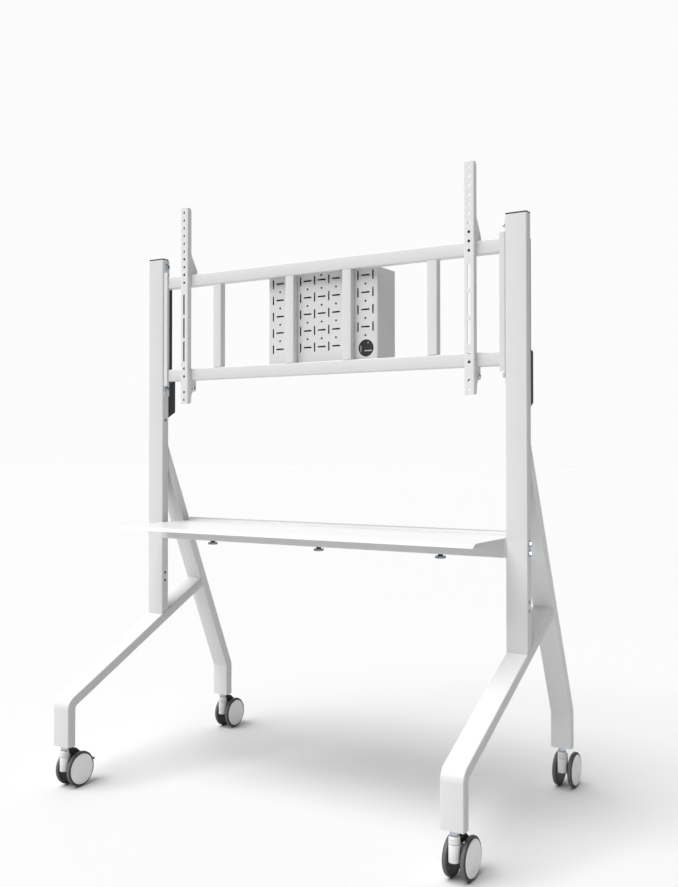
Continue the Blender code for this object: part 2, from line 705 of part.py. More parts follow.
def bracket_outline():
    """Side view (y, z): a flat channel with a hook over the top rail and a catch below."""
    bottom = BRACKET_BOTTOM
    hook_back = FRAME_BACK + GAP + HOOK_THICKNESS
    hook_front = FRAME_BACK + GAP
    rail_top = TOP_RAIL_TOP + GAP
    front = BRACKET_FRONT
    back = BRACKET_BACK
    catch_y = back + CATCH_DEPTH
    corner = BRACKET_CORNER
    fillet = CATCH_FILLET
    return [(front, bottom), (back - corner, bottom), (back, bottom + corner),
            (back, CATCH_LOW - CATCH_TAPER), (back + fillet / 4, CATCH_LOW - fillet * 0.6),
            (back + fillet, CATCH_LOW), (catch_y, CATCH_LOW), (catch_y, CATCH_TOP),
            (back, CATCH_TOP), (back, rail_top), (hook_front, rail_top),
            (hook_front, rail_top - HOOK_DROP), (hook_back, rail_top - HOOK_DROP),
            (hook_back, TOP_RAIL_TOP + HOOK_CORNER_RISE), (back, TOP_RAIL_TOP + HOOK_RISE),
            (back, BRACKET_TOP - corner), (back - corner, BRACKET_TOP), (front, BRACKET_TOP)]


def slot_outline(radius, height, length):
    """Upright slot (x, z) with round ends."""
    points = []
    reach = length / 2 - radius
    steps = HOLE_SIDES // 2
    for centre, start in ((height + reach, 0.0), (height - reach, math.pi)):
        for i in range(steps + 1):
            angle = start + math.pi * i / steps
            points.append((radius * math.cos(angle), centre + radius * math.sin(angle)))
    return points


def bracket_hole_heights():
    """The upper holes run down from the bracket's top, the lower ones up from its bottom."""
    heights = []
    for index in range(BRACKET_UPPER_HOLES):
        heights.append(BRACKET_TOP - BRACKET_UPPER_MARGIN - index * BRACKET_PITCH)
    for pitches in BRACKET_LOWER_HOLES:
        heights.append(BRACKET_BOTTOM + BRACKET_LOWER_MARGIN + pitches * BRACKET_PITCH)
    return heights


def bracket_slot_heights():
    lowest = BRACKET_BOTTOM + BRACKET_LOWER_MARGIN
    return [lowest + pitches * BRACKET_PITCH for pitches in BRACKET_SLOTS]


def catch_screw_place():
    return (BRACKET_BACK + CATCH_DEPTH - CATCH_SCREW_INSET, BOTTOM_RAIL_Z - CATCH_SCREW_DROP)


def bracket_mesh():
    """Folded channel: one web with holes and slots, and two flanges with hook and catch."""
    half = BRACKET_WIDTH / 2
    solid = prism(bracket_outline(), "X", -half, half)
    inside = half - BRACKET_SHEET
    hollow = block((-inside, inside), (BRACKET_FRONT + BRACKET_SHEET, BOX_BACK),
                   (BRACKET_BOTTOM - BRACKET_WIDTH, BRACKET_TOP + BRACKET_WIDTH))
    through = (BRACKET_FRONT - BRACKET_SHEET, BRACKET_FRONT + 2 * BRACKET_SHEET)
    holes = []
    for height in bracket_hole_heights():
        holes.append(rod(BRACKET_HOLE_RADIUS, "Y", *through, (0.0, height)))
    for height in bracket_slot_heights():
        outline = slot_outline(BRACKET_HOLE_RADIUS, height, BRACKET_SLOT_LENGTH)
        holes.append(prism(outline, "Y", *through))
    holes.append(rod(BOLT_HOLE_RADIUS, "X", -2 * half, 2 * half, catch_screw_place()))
    return cut(cut(solid, hollow), *holes)


def catch_screw_mesh():
    """Safety screw through both flanges, with its head on the right and a nut on the left."""
    face = BRACKET_WIDTH / 2 + GAP
    radius = BOLT_HOLE_RADIUS - BOLT_CLEARANCE
    end = -face - CATCH_NUT_HEIGHT - CATCH_SCREW_END
    shank = turned([(radius, end), (radius, face + CATCH_HEAD_HEIGHT / 2)], "X", HOLE_SIDES)
    head = turned([(CATCH_HEAD_RADIUS, face), (CATCH_HEAD_RADIUS, face + CATCH_HEAD_HEIGHT / 2),
                   (CATCH_HEAD_RADIUS * 0.7, face + CATCH_HEAD_HEIGHT)], "X", PIN_SIDES)
    nut = turned([(CATCH_NUT_RADIUS, -face - CATCH_NUT_HEIGHT), (CATCH_NUT_RADIUS, -face)], "X", 6)
    return joined(shank, head, nut)


def make_brackets(frame):
    bracket = bracket_mesh()
    screw = catch_screw_mesh()
    for side in (-1, 1):
        name = side_name(side)
        slide = empty("bracket_slide_" + name, frame, (side * BRACKET_X, 0.0, 0.0))
        piece("screen_bracket_" + name, bracket, white_coat("bracket"), slide)
        piece("bracket_screw_" + name, screw, zinc("bracket_screw"), slide,
              (0.0, *catch_screw_place()))


# Media box

def near_cable_hole(x, z, reach):
    limit = CABLE_HOLE_RADIUS + 3 * SLOT_WIDTH
    return math.hypot(max(abs(x - CABLE_HOLE_X) - reach[0], 0.0),
                      max(abs(z - CABLE_HOLE_Z) - reach[1], 0.0)) < limit


def slot_cutter(x, z, width, height, through):
    outline = [(x - width / 2, z - height / 2), (x + width / 2, z - height / 2),
               (x + width / 2, z + height / 2), (x - width / 2, z + height / 2)]
    return prism(outline, "Y", *through)


def pattern_cutters(through):
    """Rows of upright slots with flat slots between them and round holes between the rows."""
    cutters = []
    for row in range(PATTERN_ROWS):
        z = PATTERN_TOP_Z - row * PATTERN_PITCH
        for column in range(PATTERN_COLUMNS):
            x = (column - (PATTERN_COLUMNS - 1) / 2) * PATTERN_PITCH
            if not near_cable_hole(x, z, (SLOT_WIDTH / 2, SLOT_LENGTH / 2)):
                cutters.append(slot_cutter(x, z, SLOT_WIDTH, SLOT_LENGTH, through))
        for column in range(PATTERN_COLUMNS - 1):
            x = (column - (PATTERN_COLUMNS - 2) / 2) * PATTERN_PITCH
            if not near_cable_hole(x, z, (SLOT_LENGTH / 2, SLOT_WIDTH / 2)):
                cutters.append(slot_cutter(x, z, SLOT_LENGTH, SLOT_WIDTH, through))
            centre = (x, z - PATTERN_PITCH / 2)
            if row < PATTERN_ROWS - 1 and not near_cable_hole(*centre, (0.0, 0.0)):
                cutters.append(rod(ROUND_HOLE_RADIUS, "Y", *through, centre, 6))
    return cutters


def box_panel_mesh():
    half = BOX_WIDTH / 2
    sheet = block((-half, half), (BOX_FRONT, BOX_FRONT + BOX_SHEET), (BOX_BOTTOM, BOX_TOP))
    through = (BOX_FRONT - BOX_SHEET, BOX_FRONT + 2 * BOX_SHEET)
    cable_hole = rod(CABLE_HOLE_RADIUS, "Y", *through, (CABLE_HOLE_X, CABLE_HOLE_Z), WHEEL_SIDES)
    return cut(sheet, cable_hole, *pattern_cutters(through))


def grommet_mesh():
    """Ring that lines the cable hole, with a flange on each side of the sheet."""
    outer = CABLE_HOLE_RADIUS - GAP
    inner = outer - GROMMET_WALL
    back = BOX_SHEET + GAP
    flange = outer + 2.5 * GROMMET_FLANGE
    ring = turned([(inner, -GAP), (outer, -GAP), (outer, back), (flange, back),
                   (flange, back + GROMMET_FLANGE), (inner, back + GROMMET_FLANGE)],
                  "Y", 20, closed=True)
    return ring


def box_shell_mesh():
    """Four walls behind the panel, open at the front and the back."""
    half = BOX_WIDTH / 2
    y = (BOX_FRONT + BOX_SHEET + GAP, BOX_BACK - BOX_SHEET - GAP)
    outer = block((-half, half), y, (BOX_BOTTOM, BOX_TOP))
    inner = block((BOX_SHEET - half, half - BOX_SHEET), (BOX_FRONT, BOX_BACK),
                  (BOX_BOTTOM + BOX_SHEET, BOX_TOP - BOX_SHEET))
    return cut(outer, inner)


def door_span(inset):
    """Width and height of the door, or of its lip, from the hinge's place."""
    return (inset, BOX_WIDTH - inset), (inset - BOX_HEIGHT / 2, BOX_HEIGHT / 2 - inset)


def lock_place():
    """Centre of the lock on the door, from the hinge's place."""
    return (BOX_WIDTH - LOCK_EDGE_DISTANCE, 0.0)


def door_mesh():
    """Shallow pan over the box's back; its hinge line is x = 0, y = 0."""
    lip_inset = BOX_SHEET + DOOR_LIP_INSET
    x, z = door_span(0.0)
    plate = block(x, (-BOX_SHEET, 0.0), z)
    x, z = door_span(lip_inset)
    rim = block(x, (-BOX_SHEET - DOOR_LIP, -BOX_SHEET / 2), z)
    x, z = door_span(lip_inset + BOX_SHEET)
    hollow = block(x, (-2 * DOOR_LIP, -BOX_SHEET), z)
    lock_hole = rod(LOCK_RADIUS + GAP, "Y", -DOOR_LIP, DOOR_LIP, lock_place(), PIN_SIDES)
    return cut(joined(plate, cut(rim, hollow)), lock_hole)


def lock_mesh():
    """Cam lock about its own axis: head outside the door, barrel through it, cam inside."""
    cam_front = -BOX_SHEET - DOOR_LIP - 2 * GAP
    cam_back = cam_front - LOCK_CAM_THICKNESS
    width = LOCK_CAM_WIDTH / 2
    barrel = turned([(LOCK_RADIUS, cam_back - GAP), (LOCK_RADIUS, LOCK_HEAD_HEIGHT / 2)], "Y",
                    PIN_SIDES)
    head = turned([(LOCK_HEAD_RADIUS, GAP), (LOCK_HEAD_RADIUS, LOCK_HEAD_HEIGHT * 0.7),
                   (LOCK_HEAD_RADIUS * 0.85, LOCK_HEAD_HEIGHT)], "Y", PIN_SIDES)
    cam = block((-width, LOCK_CAM_LENGTH), (cam_back, cam_front), (-width, width))
    return joined(barrel, head, cam)


def make_box(frame):
    piece("box_front_panel", box_panel_mesh(), white_coat("box"), frame)
    piece("box_shell", box_shell_mesh(), white_coat("box"), frame)
    piece("cable_grommet", grommet_mesh(), black_plastic("grommet"), frame,
          (CABLE_HOLE_X, BOX_FRONT, CABLE_HOLE_Z))
    hinge_place = (-BOX_WIDTH / 2, BOX_BACK, BOX_BOTTOM + BOX_HEIGHT / 2)
    hinge = empty("box_door_hinge", frame, hinge_place)
    piece("box_door", door_mesh(), white_coat("box"), hinge)
    x, z = lock_place()
    piece("box_lock", lock_mesh(), zinc("lock"), hinge, (x, 0.0, z))


# Shelf

def crossbar_mesh():
    """Tube between the columns with drilled end plates and holes for the knobs' threads."""
    x = (GAP - COLUMN_INNER_X, COLUMN_INNER_X - GAP)
    outer = block(x, (0.0, COLUMN_DEPTH), (CROSSBAR_BOTTOM, CROSSBAR_TOP))
    plate = CROSSBAR_END_PLATE
    hollow = block((x[0] + plate, x[1] - plate), (TUBE_WALL, COLUMN_DEPTH - TUBE_WALL),
                   (CROSSBAR_BOTTOM + TUBE_WALL, CROSSBAR_TOP - TUBE_WALL))
    middle = COLUMN_DEPTH / 2
    drills = []
    for half in (-SHELF_BOLT_SPAN / 2, SHELF_BOLT_SPAN / 2):
        centre = (middle, SHELF_BOLT_Z + half)
        drills.append(rod(BOLT_HOLE_RADIUS, "X", -COLUMN_OUTER_X, COLUMN_OUTER_X, centre))
    for knob_x in (-KNOB_X, 0.0, KNOB_X):
        centre = (knob_x, middle)
        drills.append(rod(KNOB_THREAD_RADIUS + BOLT_CLEARANCE, "Z", CROSSBAR_BOTTOM - plate,
                          CROSSBAR_TOP + plate, centre))
    return cut(cut(outer, hollow), *drills)


def tray_outline(inset, overrun):
    """Side view (y, z) of the folded tray; overrun opens its underside and its back."""
    front = -TRAY_FRONT_REACH
    top = TRAY_TOP - inset
    low = TRAY_TOP - TRAY_FLANGE
    back = TRAY_REAR_REACH
    return [(front + 1.5 * inset, low - overrun), (front + 1.5 * inset, low),
            (front + TRAY_NOSE_STEP + inset / 2, top - TRAY_NOSE_FALL),
            (front + TRAY_NOSE, top), (back + overrun, top), (back + overrun, low - overrun)]


def tray_mesh():
    """Folded sheet: sloping nose, downturned sides notched at the crossbar, upturned rear lip."""
    outline = tray_outline(0.0, 0.0)[1:]
    solid = prism(outline, "X", -TRAY_EDGE_X, TRAY_EDGE_X)
    inside = TRAY_EDGE_X - TRAY_SHEET
    hollow = prism(tray_outline(TRAY_SHEET, TRAY_SHEET), "X", -inside, inside)
    notch = block((-COLUMN_OUTER_X, COLUMN_OUTER_X), (-GAP, COLUMN_DEPTH + GAP),
                  (CROSSBAR_BOTTOM, CROSSBAR_TOP + GAP))
    lip = block((-TRAY_EDGE_X, TRAY_EDGE_X), (TRAY_REAR_REACH - TRAY_SHEET, TRAY_REAR_REACH),
                (TRAY_TOP - TRAY_SHEET / 2, TRAY_TOP + TRAY_LIP))
    return joined(cut(cut(solid, hollow), notch), lip)


def knob_mesh():
    """Thumbscrew about Z with z = 0 at the crossbar's underside."""
    low = -KNOB_COLLAR_HEIGHT
    base = low - KNOB_THICKNESS
    return turned([(KNOB_RADIUS - KNOB_CHAMFER, base), (KNOB_RADIUS, base + KNOB_CHAMFER),
                   (KNOB_RADIUS, low), (KNOB_COLLAR_RADIUS, low), (KNOB_COLLAR_RADIUS, -GAP),
                   (KNOB_THREAD_RADIUS, -GAP), (KNOB_THREAD_RADIUS, CROSSBAR_HEIGHT)],
                  "Z", PIN_SIDES)


def make_shelf_bolts(cart):
    """Two bolts in each column's outer face, at the shelf's height."""
    bolt = bolt_mesh(COLUMN_WIDTH - GAP)
    meshes = {-1: bolt, 1: mirrored(bolt)}
    for side in (-1, 1):
        for level, half in (("lower", -SHELF_BOLT_SPAN / 2), ("upper", SHELF_BOLT_SPAN / 2)):
            place = (side * COLUMN_OUTER_X, COLUMN_DEPTH / 2, SHELF_BOLT_Z + half)
            piece("shelf_bolt_%s_%s" % (side_name(side), level), meshes[side], zinc("bolt"), cart,
                  place)


def make_shelf(cart):
    shelf = empty("shelf_slide", cart, (0.0, 0.0, 0.0))
    piece("shelf_crossbar", crossbar_mesh(), white_coat("crossbar"), shelf)
    piece("shelf_tray", tray_mesh(), white_coat("tray"), shelf)
    knob = knob_mesh()
    for number, x in enumerate((-KNOB_X, 0.0, KNOB_X), start=1):
        place = (x, COLUMN_DEPTH / 2, CROSSBAR_BOTTOM)
        piece("tray_knob_%d" % number, knob, zinc("knob"), shelf, place)


# Casters: built around the stem's axis, with z = 0 on the floor

def wheel_mesh():
    """Right-hand wheel about X, measured from the caster's middle; blind bore inside."""
    flat = 1 / math.cos(math.pi / WHEEL_SIDES)
    side = WHEEL_X - WHEEL_FACE_STEP
    inner = WHEEL_X - WHEEL_THICKNESS
    tread = WHEEL_RADIUS * flat
    shoulder = WHEEL_SHOULDER
    bore = AXLE_RADIUS + BORE_CLEARANCE
    profile = [(WHEEL_FACE_RADIUS, WHEEL_X), (WHEEL_FACE_RADIUS + WHEEL_FACE_STEP, side),
               (tread - shoulder, side), (tread, side - shoulder), (tread, inner + shoulder),
               (tread - shoulder, inner), (bore, inner), (bore, WHEEL_X - WHEEL_HUB_WALL)]
    return turned(profile, "X")


def axle_mesh():
    """Axle pressed into the caster's arm."""
    reach = WHEEL_X - WHEEL_HUB_WALL - GAP
    return rod(AXLE_RADIUS, "X", -reach, reach, (CASTER_TRAIL, WHEEL_RADIUS), PIN_SIDES)


def stem_mesh():
    """Threaded stem with its nut: it enters the foot above and the pillar below."""
    nut = turned([(NUT_RADIUS, PILLAR_TOP + GAP), (NUT_RADIUS, FOOT_BOTTOM - GAP)], "Z", 6)
    stud = turned([(STEM_RADIUS, PILLAR_TOP - STEM_SOCKET + 2 * GAP),
                   (STEM_RADIUS, FOOT_BOTTOM + STEM_RISE)], "Z", PIN_SIDES)
    return joined(nut, stud)


def pillar_mesh():
    groove = PILLAR_RADIUS - PILLAR_GROOVE
    chamfer = PILLAR_CHAMFER
    return turned([(PILLAR_RADIUS - chamfer, PILLAR_BOTTOM), (PILLAR_RADIUS, PILLAR_BOTTOM + chamfer),
                   (PILLAR_RADIUS, PILLAR_GROOVE_Z - PILLAR_GROOVE), (groove, PILLAR_GROOVE_Z),
                   (PILLAR_RADIUS, PILLAR_GROOVE_Z + PILLAR_GROOVE),
                   (PILLAR_RADIUS, PILLAR_TOP - chamfer), (PILLAR_RADIUS - chamfer, PILLAR_TOP)],
                  "Z", PIN_SIDES)


def arm_mesh():
    """Arm from the pillar back to the axle's boss."""
    root = PILLAR_RADIUS / 3
    boss = arc_points((CASTER_TRAIL, WHEEL_RADIUS), BOSS_RADIUS, -120, 60, 6)
    outline = [(root, PILLAR_BOTTOM + BOSS_RADIUS / 3)] + boss
    outline.append((root, PEDAL_HINGE_Z - PEDAL_HOOD_SKIRT - PEDAL_EYE_WALL))
    return prism(outline, "X", -ARM_WIDTH / 2, ARM_WIDTH / 2)


def shoulder_mesh():
    """Step between the pillar and the pedal's hood."""
    back = PEDAL_HINGE_Y - PEDAL_HOOD_FRONT - ARM_SHOULDER_GAP
    root = PILLAR_RADIUS / 3
    corner = (back - root) / 3
    outline = [(root, WHEEL_RADIUS + BOSS_RADIUS), (back, WHEEL_RADIUS + BOSS_RADIUS),
               (back, ARM_SHOULDER_TOP - corner), (back - corner, ARM_SHOULDER_TOP),
               (root, ARM_SHOULDER_TOP)]
    return prism(outline, "X", -ARM_SHOULDER_WIDTH / 2, ARM_SHOULDER_WIDTH / 2)


def web_mesh():
    """Thin web above the arm that carries the pedal's pin."""
    root = PILLAR_RADIUS / 3
    eye = PEDAL_PIN_RADIUS + PEDAL_EYE_WALL
    outline = [(root, WHEEL_RADIUS + BOSS_RADIUS / 2), (CASTER_TRAIL, WHEEL_RADIUS + BOSS_RADIUS / 2)]
    outline += arc_points((PEDAL_HINGE_Y, PEDAL_HINGE_Z), eye, -40, 90, 5)
    outline.append((root, PEDAL_HINGE_Z + eye * 0.7))
    return prism(outline, "X", -ARM_WEB / 2, ARM_WEB / 2)


def caster_body_mesh():
    body = joined(pillar_mesh(), arm_mesh(), shoulder_mesh(), web_mesh(), axle_mesh())
    socket = rod(STEM_RADIUS + STEM_CLEARANCE, "Z", PILLAR_TOP - STEM_SOCKET, FOOT_BOTTOM,
                 sides=PIN_SIDES)
    pin_hole = rod(PEDAL_PIN_RADIUS + GAP, "X", -WHEEL_X, WHEEL_X, (PEDAL_HINGE_Y, PEDAL_HINGE_Z))
    return cut(body, socket, pin_hole)


def pedal_mesh():
    """Brake pedal about its hinge pin: a hood over the web and a tongue behind the wheels."""
    front = -PEDAL_HOOD_FRONT
    back = PEDAL_HOOD_BACK
    top = PEDAL_HOOD_HEIGHT
    low = -PEDAL_HOOD_SKIRT
    tip_y = PEDAL_TIP_Y - PEDAL_HINGE_Y
    tip_z = PEDAL_TIP_Z - PEDAL_HINGE_Z
    thick = PEDAL_TONGUE_THICKNESS
    neck = thick * 2
    outline = [(front, top * 0.5), (front * 0.85, top * 0.85), (front * 0.5, top * 0.98), (0.0, top),
               (back * 0.45, top * 0.82), (back, top * 0.4), (tip_y - neck, tip_z + thick * 0.4),
               (tip_y, tip_z + thick * 0.6), (tip_y, tip_z - thick * 0.4),
               (tip_y - neck, tip_z - thick * 0.8), (back + neck, low * 2), (back * 0.75, low),
               (front * 0.3, low * 0.8), (front * 0.7, top * 0.1)]
    half = PEDAL_WIDTH / 2
    solid = prism(outline, "X", -half, half)
    slot = ARM_WEB / 2 + 2 * GAP
    roof = PEDAL_PIN_RADIUS + PEDAL_EYE_WALL + 2 * GAP
    past = 2 * PEDAL_HOOD_FRONT
    space = prism([(-past, -past), (back, -past), (back, 0.0), (back * 0.45, roof), (-past, roof)],
                  "X", -slot, slot)
    pin = turned([(PEDAL_PIN_RADIUS, -half * 0.9), (PEDAL_PIN_RADIUS, half * 0.9)], "X", HOLE_SIDES)
    return joined(cut(solid, space), pin)


def make_casters(cart):
    stem = stem_mesh()
    body = caster_body_mesh()
    right_wheel = wheel_mesh()
    wheels = {1: right_wheel, -1: mirrored(right_wheel)}
    pedal = pedal_mesh()
    places = [("front_left", -1, FRONT_CASTER_Y, True), ("front_right", 1, FRONT_CASTER_Y, True),
              ("rear_left", -1, REAR_CASTER_Y, True), ("rear_right", 1, REAR_CASTER_Y, False)]
    for name, side, y, has_brake in places:
        place = (side * COLUMN_X, y, 0.0)
        piece("caster_stem_" + name, stem, zinc("stem"), cart, place)
        swivel = empty("caster_swivel_" + name, cart, place)
        piece("caster_body_" + name, body, white_coat("caster"), swivel)
        hub = (0.0, CASTER_TRAIL, WHEEL_RADIUS)
        for wheel_side, label in ((-1, "outer" if side < 0 else "inner"),
                                  (1, "inner" if side < 0 else "outer")):
            piece("wheel_%s_%s" % (name, label), wheels[wheel_side],
                  material("tyre_rubber", (0.06, 0.06, 0.06), 0.7, 0.0), swivel, hub)
        if has_brake:
            piece("brake_pedal_" + name, pedal, black_plastic("brake_pedal"), swivel,
                  (0.0, PEDAL_HINGE_Y, PEDAL_HINGE_Z))


def main():
    clear_scene()
    cart = empty("cart", None, (0.0, CART_Y, 0.0))
    frame = empty("frame_slide", cart, (0.0, 0.0, 0.0))
    make_columns(cart)
    make_legs(cart)
    make_rails(frame)
    make_frame_ends(frame)
    make_brackets(frame)
    make_box(frame)
    make_shelf(cart)
    make_shelf_bolts(cart)
    make_casters(cart)
    bpy.context.view_layer.update()


main()
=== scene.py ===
"""Looks of a rolling screen cart: powder-coated tube, folded sheet, black plastic, zinc, casters."""
import math

import bmesh
import bpy
from bmesh.types import BMEdge, BMVert
from bpy.props import FloatProperty, FloatVectorProperty, IntProperty, PointerProperty
from mathutils import Matrix, Vector


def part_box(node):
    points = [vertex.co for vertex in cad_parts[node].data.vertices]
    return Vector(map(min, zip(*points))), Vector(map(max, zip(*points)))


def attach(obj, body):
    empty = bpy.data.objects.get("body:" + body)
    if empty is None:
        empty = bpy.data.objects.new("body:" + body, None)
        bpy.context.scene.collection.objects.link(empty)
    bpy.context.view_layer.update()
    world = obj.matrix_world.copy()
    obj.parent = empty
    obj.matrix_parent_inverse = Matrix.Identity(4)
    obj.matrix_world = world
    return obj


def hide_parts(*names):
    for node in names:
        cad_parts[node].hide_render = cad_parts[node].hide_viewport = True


bl_info = {
    "name": "Rolling screen cart",
    "version": (1, 0, 0),
    "blender": (4, 5, 0),
    "location": "View3D > Sidebar > Cart",
    "description": "Models and paints a rolling screen cart over its packed frame",
    "category": "Object",
}

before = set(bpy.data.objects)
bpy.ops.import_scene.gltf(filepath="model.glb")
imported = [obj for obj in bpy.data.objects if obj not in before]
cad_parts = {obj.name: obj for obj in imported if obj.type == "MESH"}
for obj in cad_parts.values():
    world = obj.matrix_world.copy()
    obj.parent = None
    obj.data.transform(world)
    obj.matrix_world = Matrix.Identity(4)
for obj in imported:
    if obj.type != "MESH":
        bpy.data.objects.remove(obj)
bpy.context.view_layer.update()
SIDES = {"left": -1, "right": 1}    # with the sign of x there
LEVELS = ("upper", "lower")
CASTERS = ("front_left", "front_right", "rear_left", "rear_right")
GAP = 0.0003            # between pieces that touch
PAST = 0.003            # how far a cutter reaches past the wall that it cuts
SHARP = 0.9             # radians between the faces of an edge that is worth rounding
SMOOTH_ANGLE = math.radians(35.0)
SHEET = 0.0015          # thickness of the media box's walls
PLATE = 0.003           # thickness of the frame's end angles and the crossbar's end plates
SCREW_RADIUS = 0.0042   # of the shanks of bolts and bracket screws
TURNS = {
    "X": Matrix.Rotation(math.pi / 2, 3, "Y"),
    "Y": Matrix.Rotation(-math.pi / 2, 3, "X"),
    "Z": Matrix.Identity(3),
}


def length(name, text, value):
    return FloatProperty(name=name, description=text, default=value, min=0.0, unit="LENGTH",
                         precision=4)


def angle(name, text, degrees):
    return FloatProperty(name=name, description=text, default=math.radians(degrees), unit="ROTATION")


def count(name, text, value, least):
    return IntProperty(name=name, description=text, default=value, min=least)


def colour(name, text, value):
    return FloatVectorProperty(name=name, description=text, default=value, size=3, min=0.0, max=1.0,
                               subtype="COLOR")


class CartSizes(bpy.types.PropertyGroup):
    """Sizes of the finish that the frame doesn't fix."""
    tube_corner: length("Tube corner", "Outer corner radius of columns and legs", 0.0036)
    rail_corner: length("Rail corner", "Outer corner radius of the frame's rails", 0.0026)
    tube_wall: length("Tube wall", "Wall of the steel tube", 0.002)
    fold_radius: length("Fold radius", "Outer radius of a fold in sheet steel", 0.0024)
    front_leg_angle: angle("Front leg angle", "Slope of the front leg above the floor", 26.1)
    rear_leg_angle: angle("Rear leg angle", "Lean of the rear leg from the vertical", 23.9)
    leg_bend: length("Leg bend", "Bend radius of the legs on their centre line", 0.025)
    leg_thickness: length("Leg thickness", "Depth of the legs' tube", 0.03)
    front_leg_height: length("Front leg height", "Upper face at the columns' front", 0.4558)
    rear_leg_top: length("Rear leg top", "Rear face of the rear leg at the columns' back", 1.003)
    bracket_sheet: length("Bracket sheet", "Thickness of the screen brackets' sheet", 0.0025)
    bracket_pitch: length("Bracket pitch", "Spacing of the screen brackets' holes", 0.025)
    bracket_hole: length("Bracket hole", "Radius of the screen brackets' holes", 0.00425)
    cable_hole: length("Cable hole", "Radius of the box's cable hole", 0.025)
    bolt_hole: length("Bolt hole", "Radius of the bolt holes", 0.0045)
    frame_drop: length("Frame drop", "How far below are the screen frame's second holes", 0.1)
    shelf_drop: length("Shelf drop", "How far below are the shelf's second holes", 0.15)
    slot_length: length("Slot length", "Length of a slot in the perforated panel", 0.028)
    slot_width: length("Slot width", "Width of a slot in the perforated panel", 0.0049)
    round_hole: length("Round hole", "Radius of the panel's small holes", 0.0032)
    pattern_pitch: length("Pattern pitch", "Spacing of the perforation", 0.05)
    knurls: count("Knurls", "Ridges round a thumbscrew", 36, 8)
    wheel_steps: count("Wheel steps", "Sides of a wheel", 96, 24)


class CartFinish(bpy.types.PropertyGroup):
    """Colours of the cart's finishes."""
    coat: colour("Powder coat", "White powder coat of the steel", (0.62, 0.623, 0.626))
    plastic: colour("Black plastic", "Caps, cable channels and pedals", (0.012, 0.012, 0.013))
    zinc: colour("Zinc", "Nuts, bolts and thumbscrews", (0.48, 0.53, 0.59))
    tyre: colour("Tyre", "Grey of the tyres and the hubs", (0.095, 0.095, 0.098))
    disc: colour("Disc", "Light plastic disc on each wheel", (0.94, 0.94, 0.95))
    housing: colour("Housing", "White plastic of the casters' housings", (0.68, 0.68, 0.685))
    # Inside: near-black colour, painted shade inside the box and the brackets' channels
    inside: colour("Inside", "Dark primer inside the box and the brackets", (0.02, 0.02, 0.021))
    floor: colour("Floor", "Pale studio floor", (0.58, 0.58, 0.58))


def sizes():
    return bpy.context.scene.cart_sizes


def finish():
    return bpy.context.scene.cart_finish


# Shader maths

class Wire:
    """A shader socket that adds Math nodes when it is used in an expression."""

    def __init__(self, shader, socket):
        self.shader = shader
        self.socket = socket

    def maths(self, operation, first, second, clamp=False):
        settings = {"operation": operation, "use_clamp": clamp}
        return self.shader.node("ShaderNodeMath", settings, {0: first, 1: second})

    def __add__(self, other):
        return self.maths("ADD", self, other)

    def __sub__(self, other):
        return self.maths("SUBTRACT", self, other)

    def __rsub__(self, other):
        return self.maths("SUBTRACT", other, self)

    def __mul__(self, other):
        return self.maths("MULTIPLY", self, other)

    __radd__ = __add__
    __rmul__ = __mul__

    def clamped(self):
        return self.maths("ADD", self, 0.0, clamp=True)


class Shader:
    """The node tree of a material or a world, with the node that its values feed."""

    def __init__(self, owner, end):
        owner.use_nodes = True
        self.tree = owner.node_tree
        self.end = self.tree.nodes[end]

    def node(self, kind, settings, inputs, output=0):
        """Adds a node: its settings first, then values or wires into its sockets."""
        made = self.tree.nodes.new(kind)
        for name, value in settings.items():
            setattr(made, name, value)
        for name, value in inputs.items():
            self.feed(made.inputs[name], value)
        return Wire(self, made.outputs[output])

    def feed(self, socket, value):
        if isinstance(value, Wire):
            self.tree.links.new(value.socket, socket)
        else:
            socket.default_value = value

    def set(self, name, value):
        self.feed(self.end.inputs[name], value)


class Paint(Shader):
    """One material."""

    def __init__(self, name, roughness, metallic=0.0):
        self.material = bpy.data.materials.new(name)
        super().__init__(self.material, "Principled BSDF")
        self.set("Roughness", roughness)
        self.set("Metallic", metallic)

    def noise(self, scale, detail=2.0, roughness=0.5):
        place = self.node("ShaderNodeTexCoord", {}, {}, "Object")
        inputs = {"Vector": place, "Scale": scale, "Detail": detail, "Roughness": roughness}
        return self.node("ShaderNodeTexNoise", {"noise_dimensions": "3D"}, inputs, "Fac")

    def mixed(self, factor, first, second):
        """Colour between two colours."""
        inputs = {0: factor, 6: first, 7: second}
        return self.node("ShaderNodeMix", {"data_type": "RGBA"}, inputs, 2)

    def bump(self, height, strength, distance, **under):
        inputs = {"Height": height, "Strength": strength, "Distance": distance, **under}
        return self.node("ShaderNodeBump", {}, inputs)


def shade(rgb, factor):
    return (*(min(channel * factor, 1.0) for channel in rgb), 1.0)


def coat_paint(name, tint, roughness, grain):
    """Fine-textured white powder coat with faint clouding."""
    paint = Paint(name, roughness)
    base = finish().coat
    peel = paint.noise(620.0, 3.0, 0.6)
    speck = paint.noise(1900.0, 1.0)
    cloud = paint.noise(4.5)
    light = paint.mixed(cloud, shade(base, 0.975 * tint), shade(base, 1.02 * tint))
    dots = ((speck - 0.62) * 6.0).clamped() * 0.5
    paint.set("Base Color", paint.mixed(dots, light, shade(base, 0.88 * tint)))
    paint.set("Roughness", roughness - 0.05 + peel * 0.1)
    fine = paint.bump(speck, 0.10 * grain, 0.0002)
    paint.set("Normal", paint.bump(peel, 0.16 * grain, 0.0004, Normal=fine))
    return paint.material


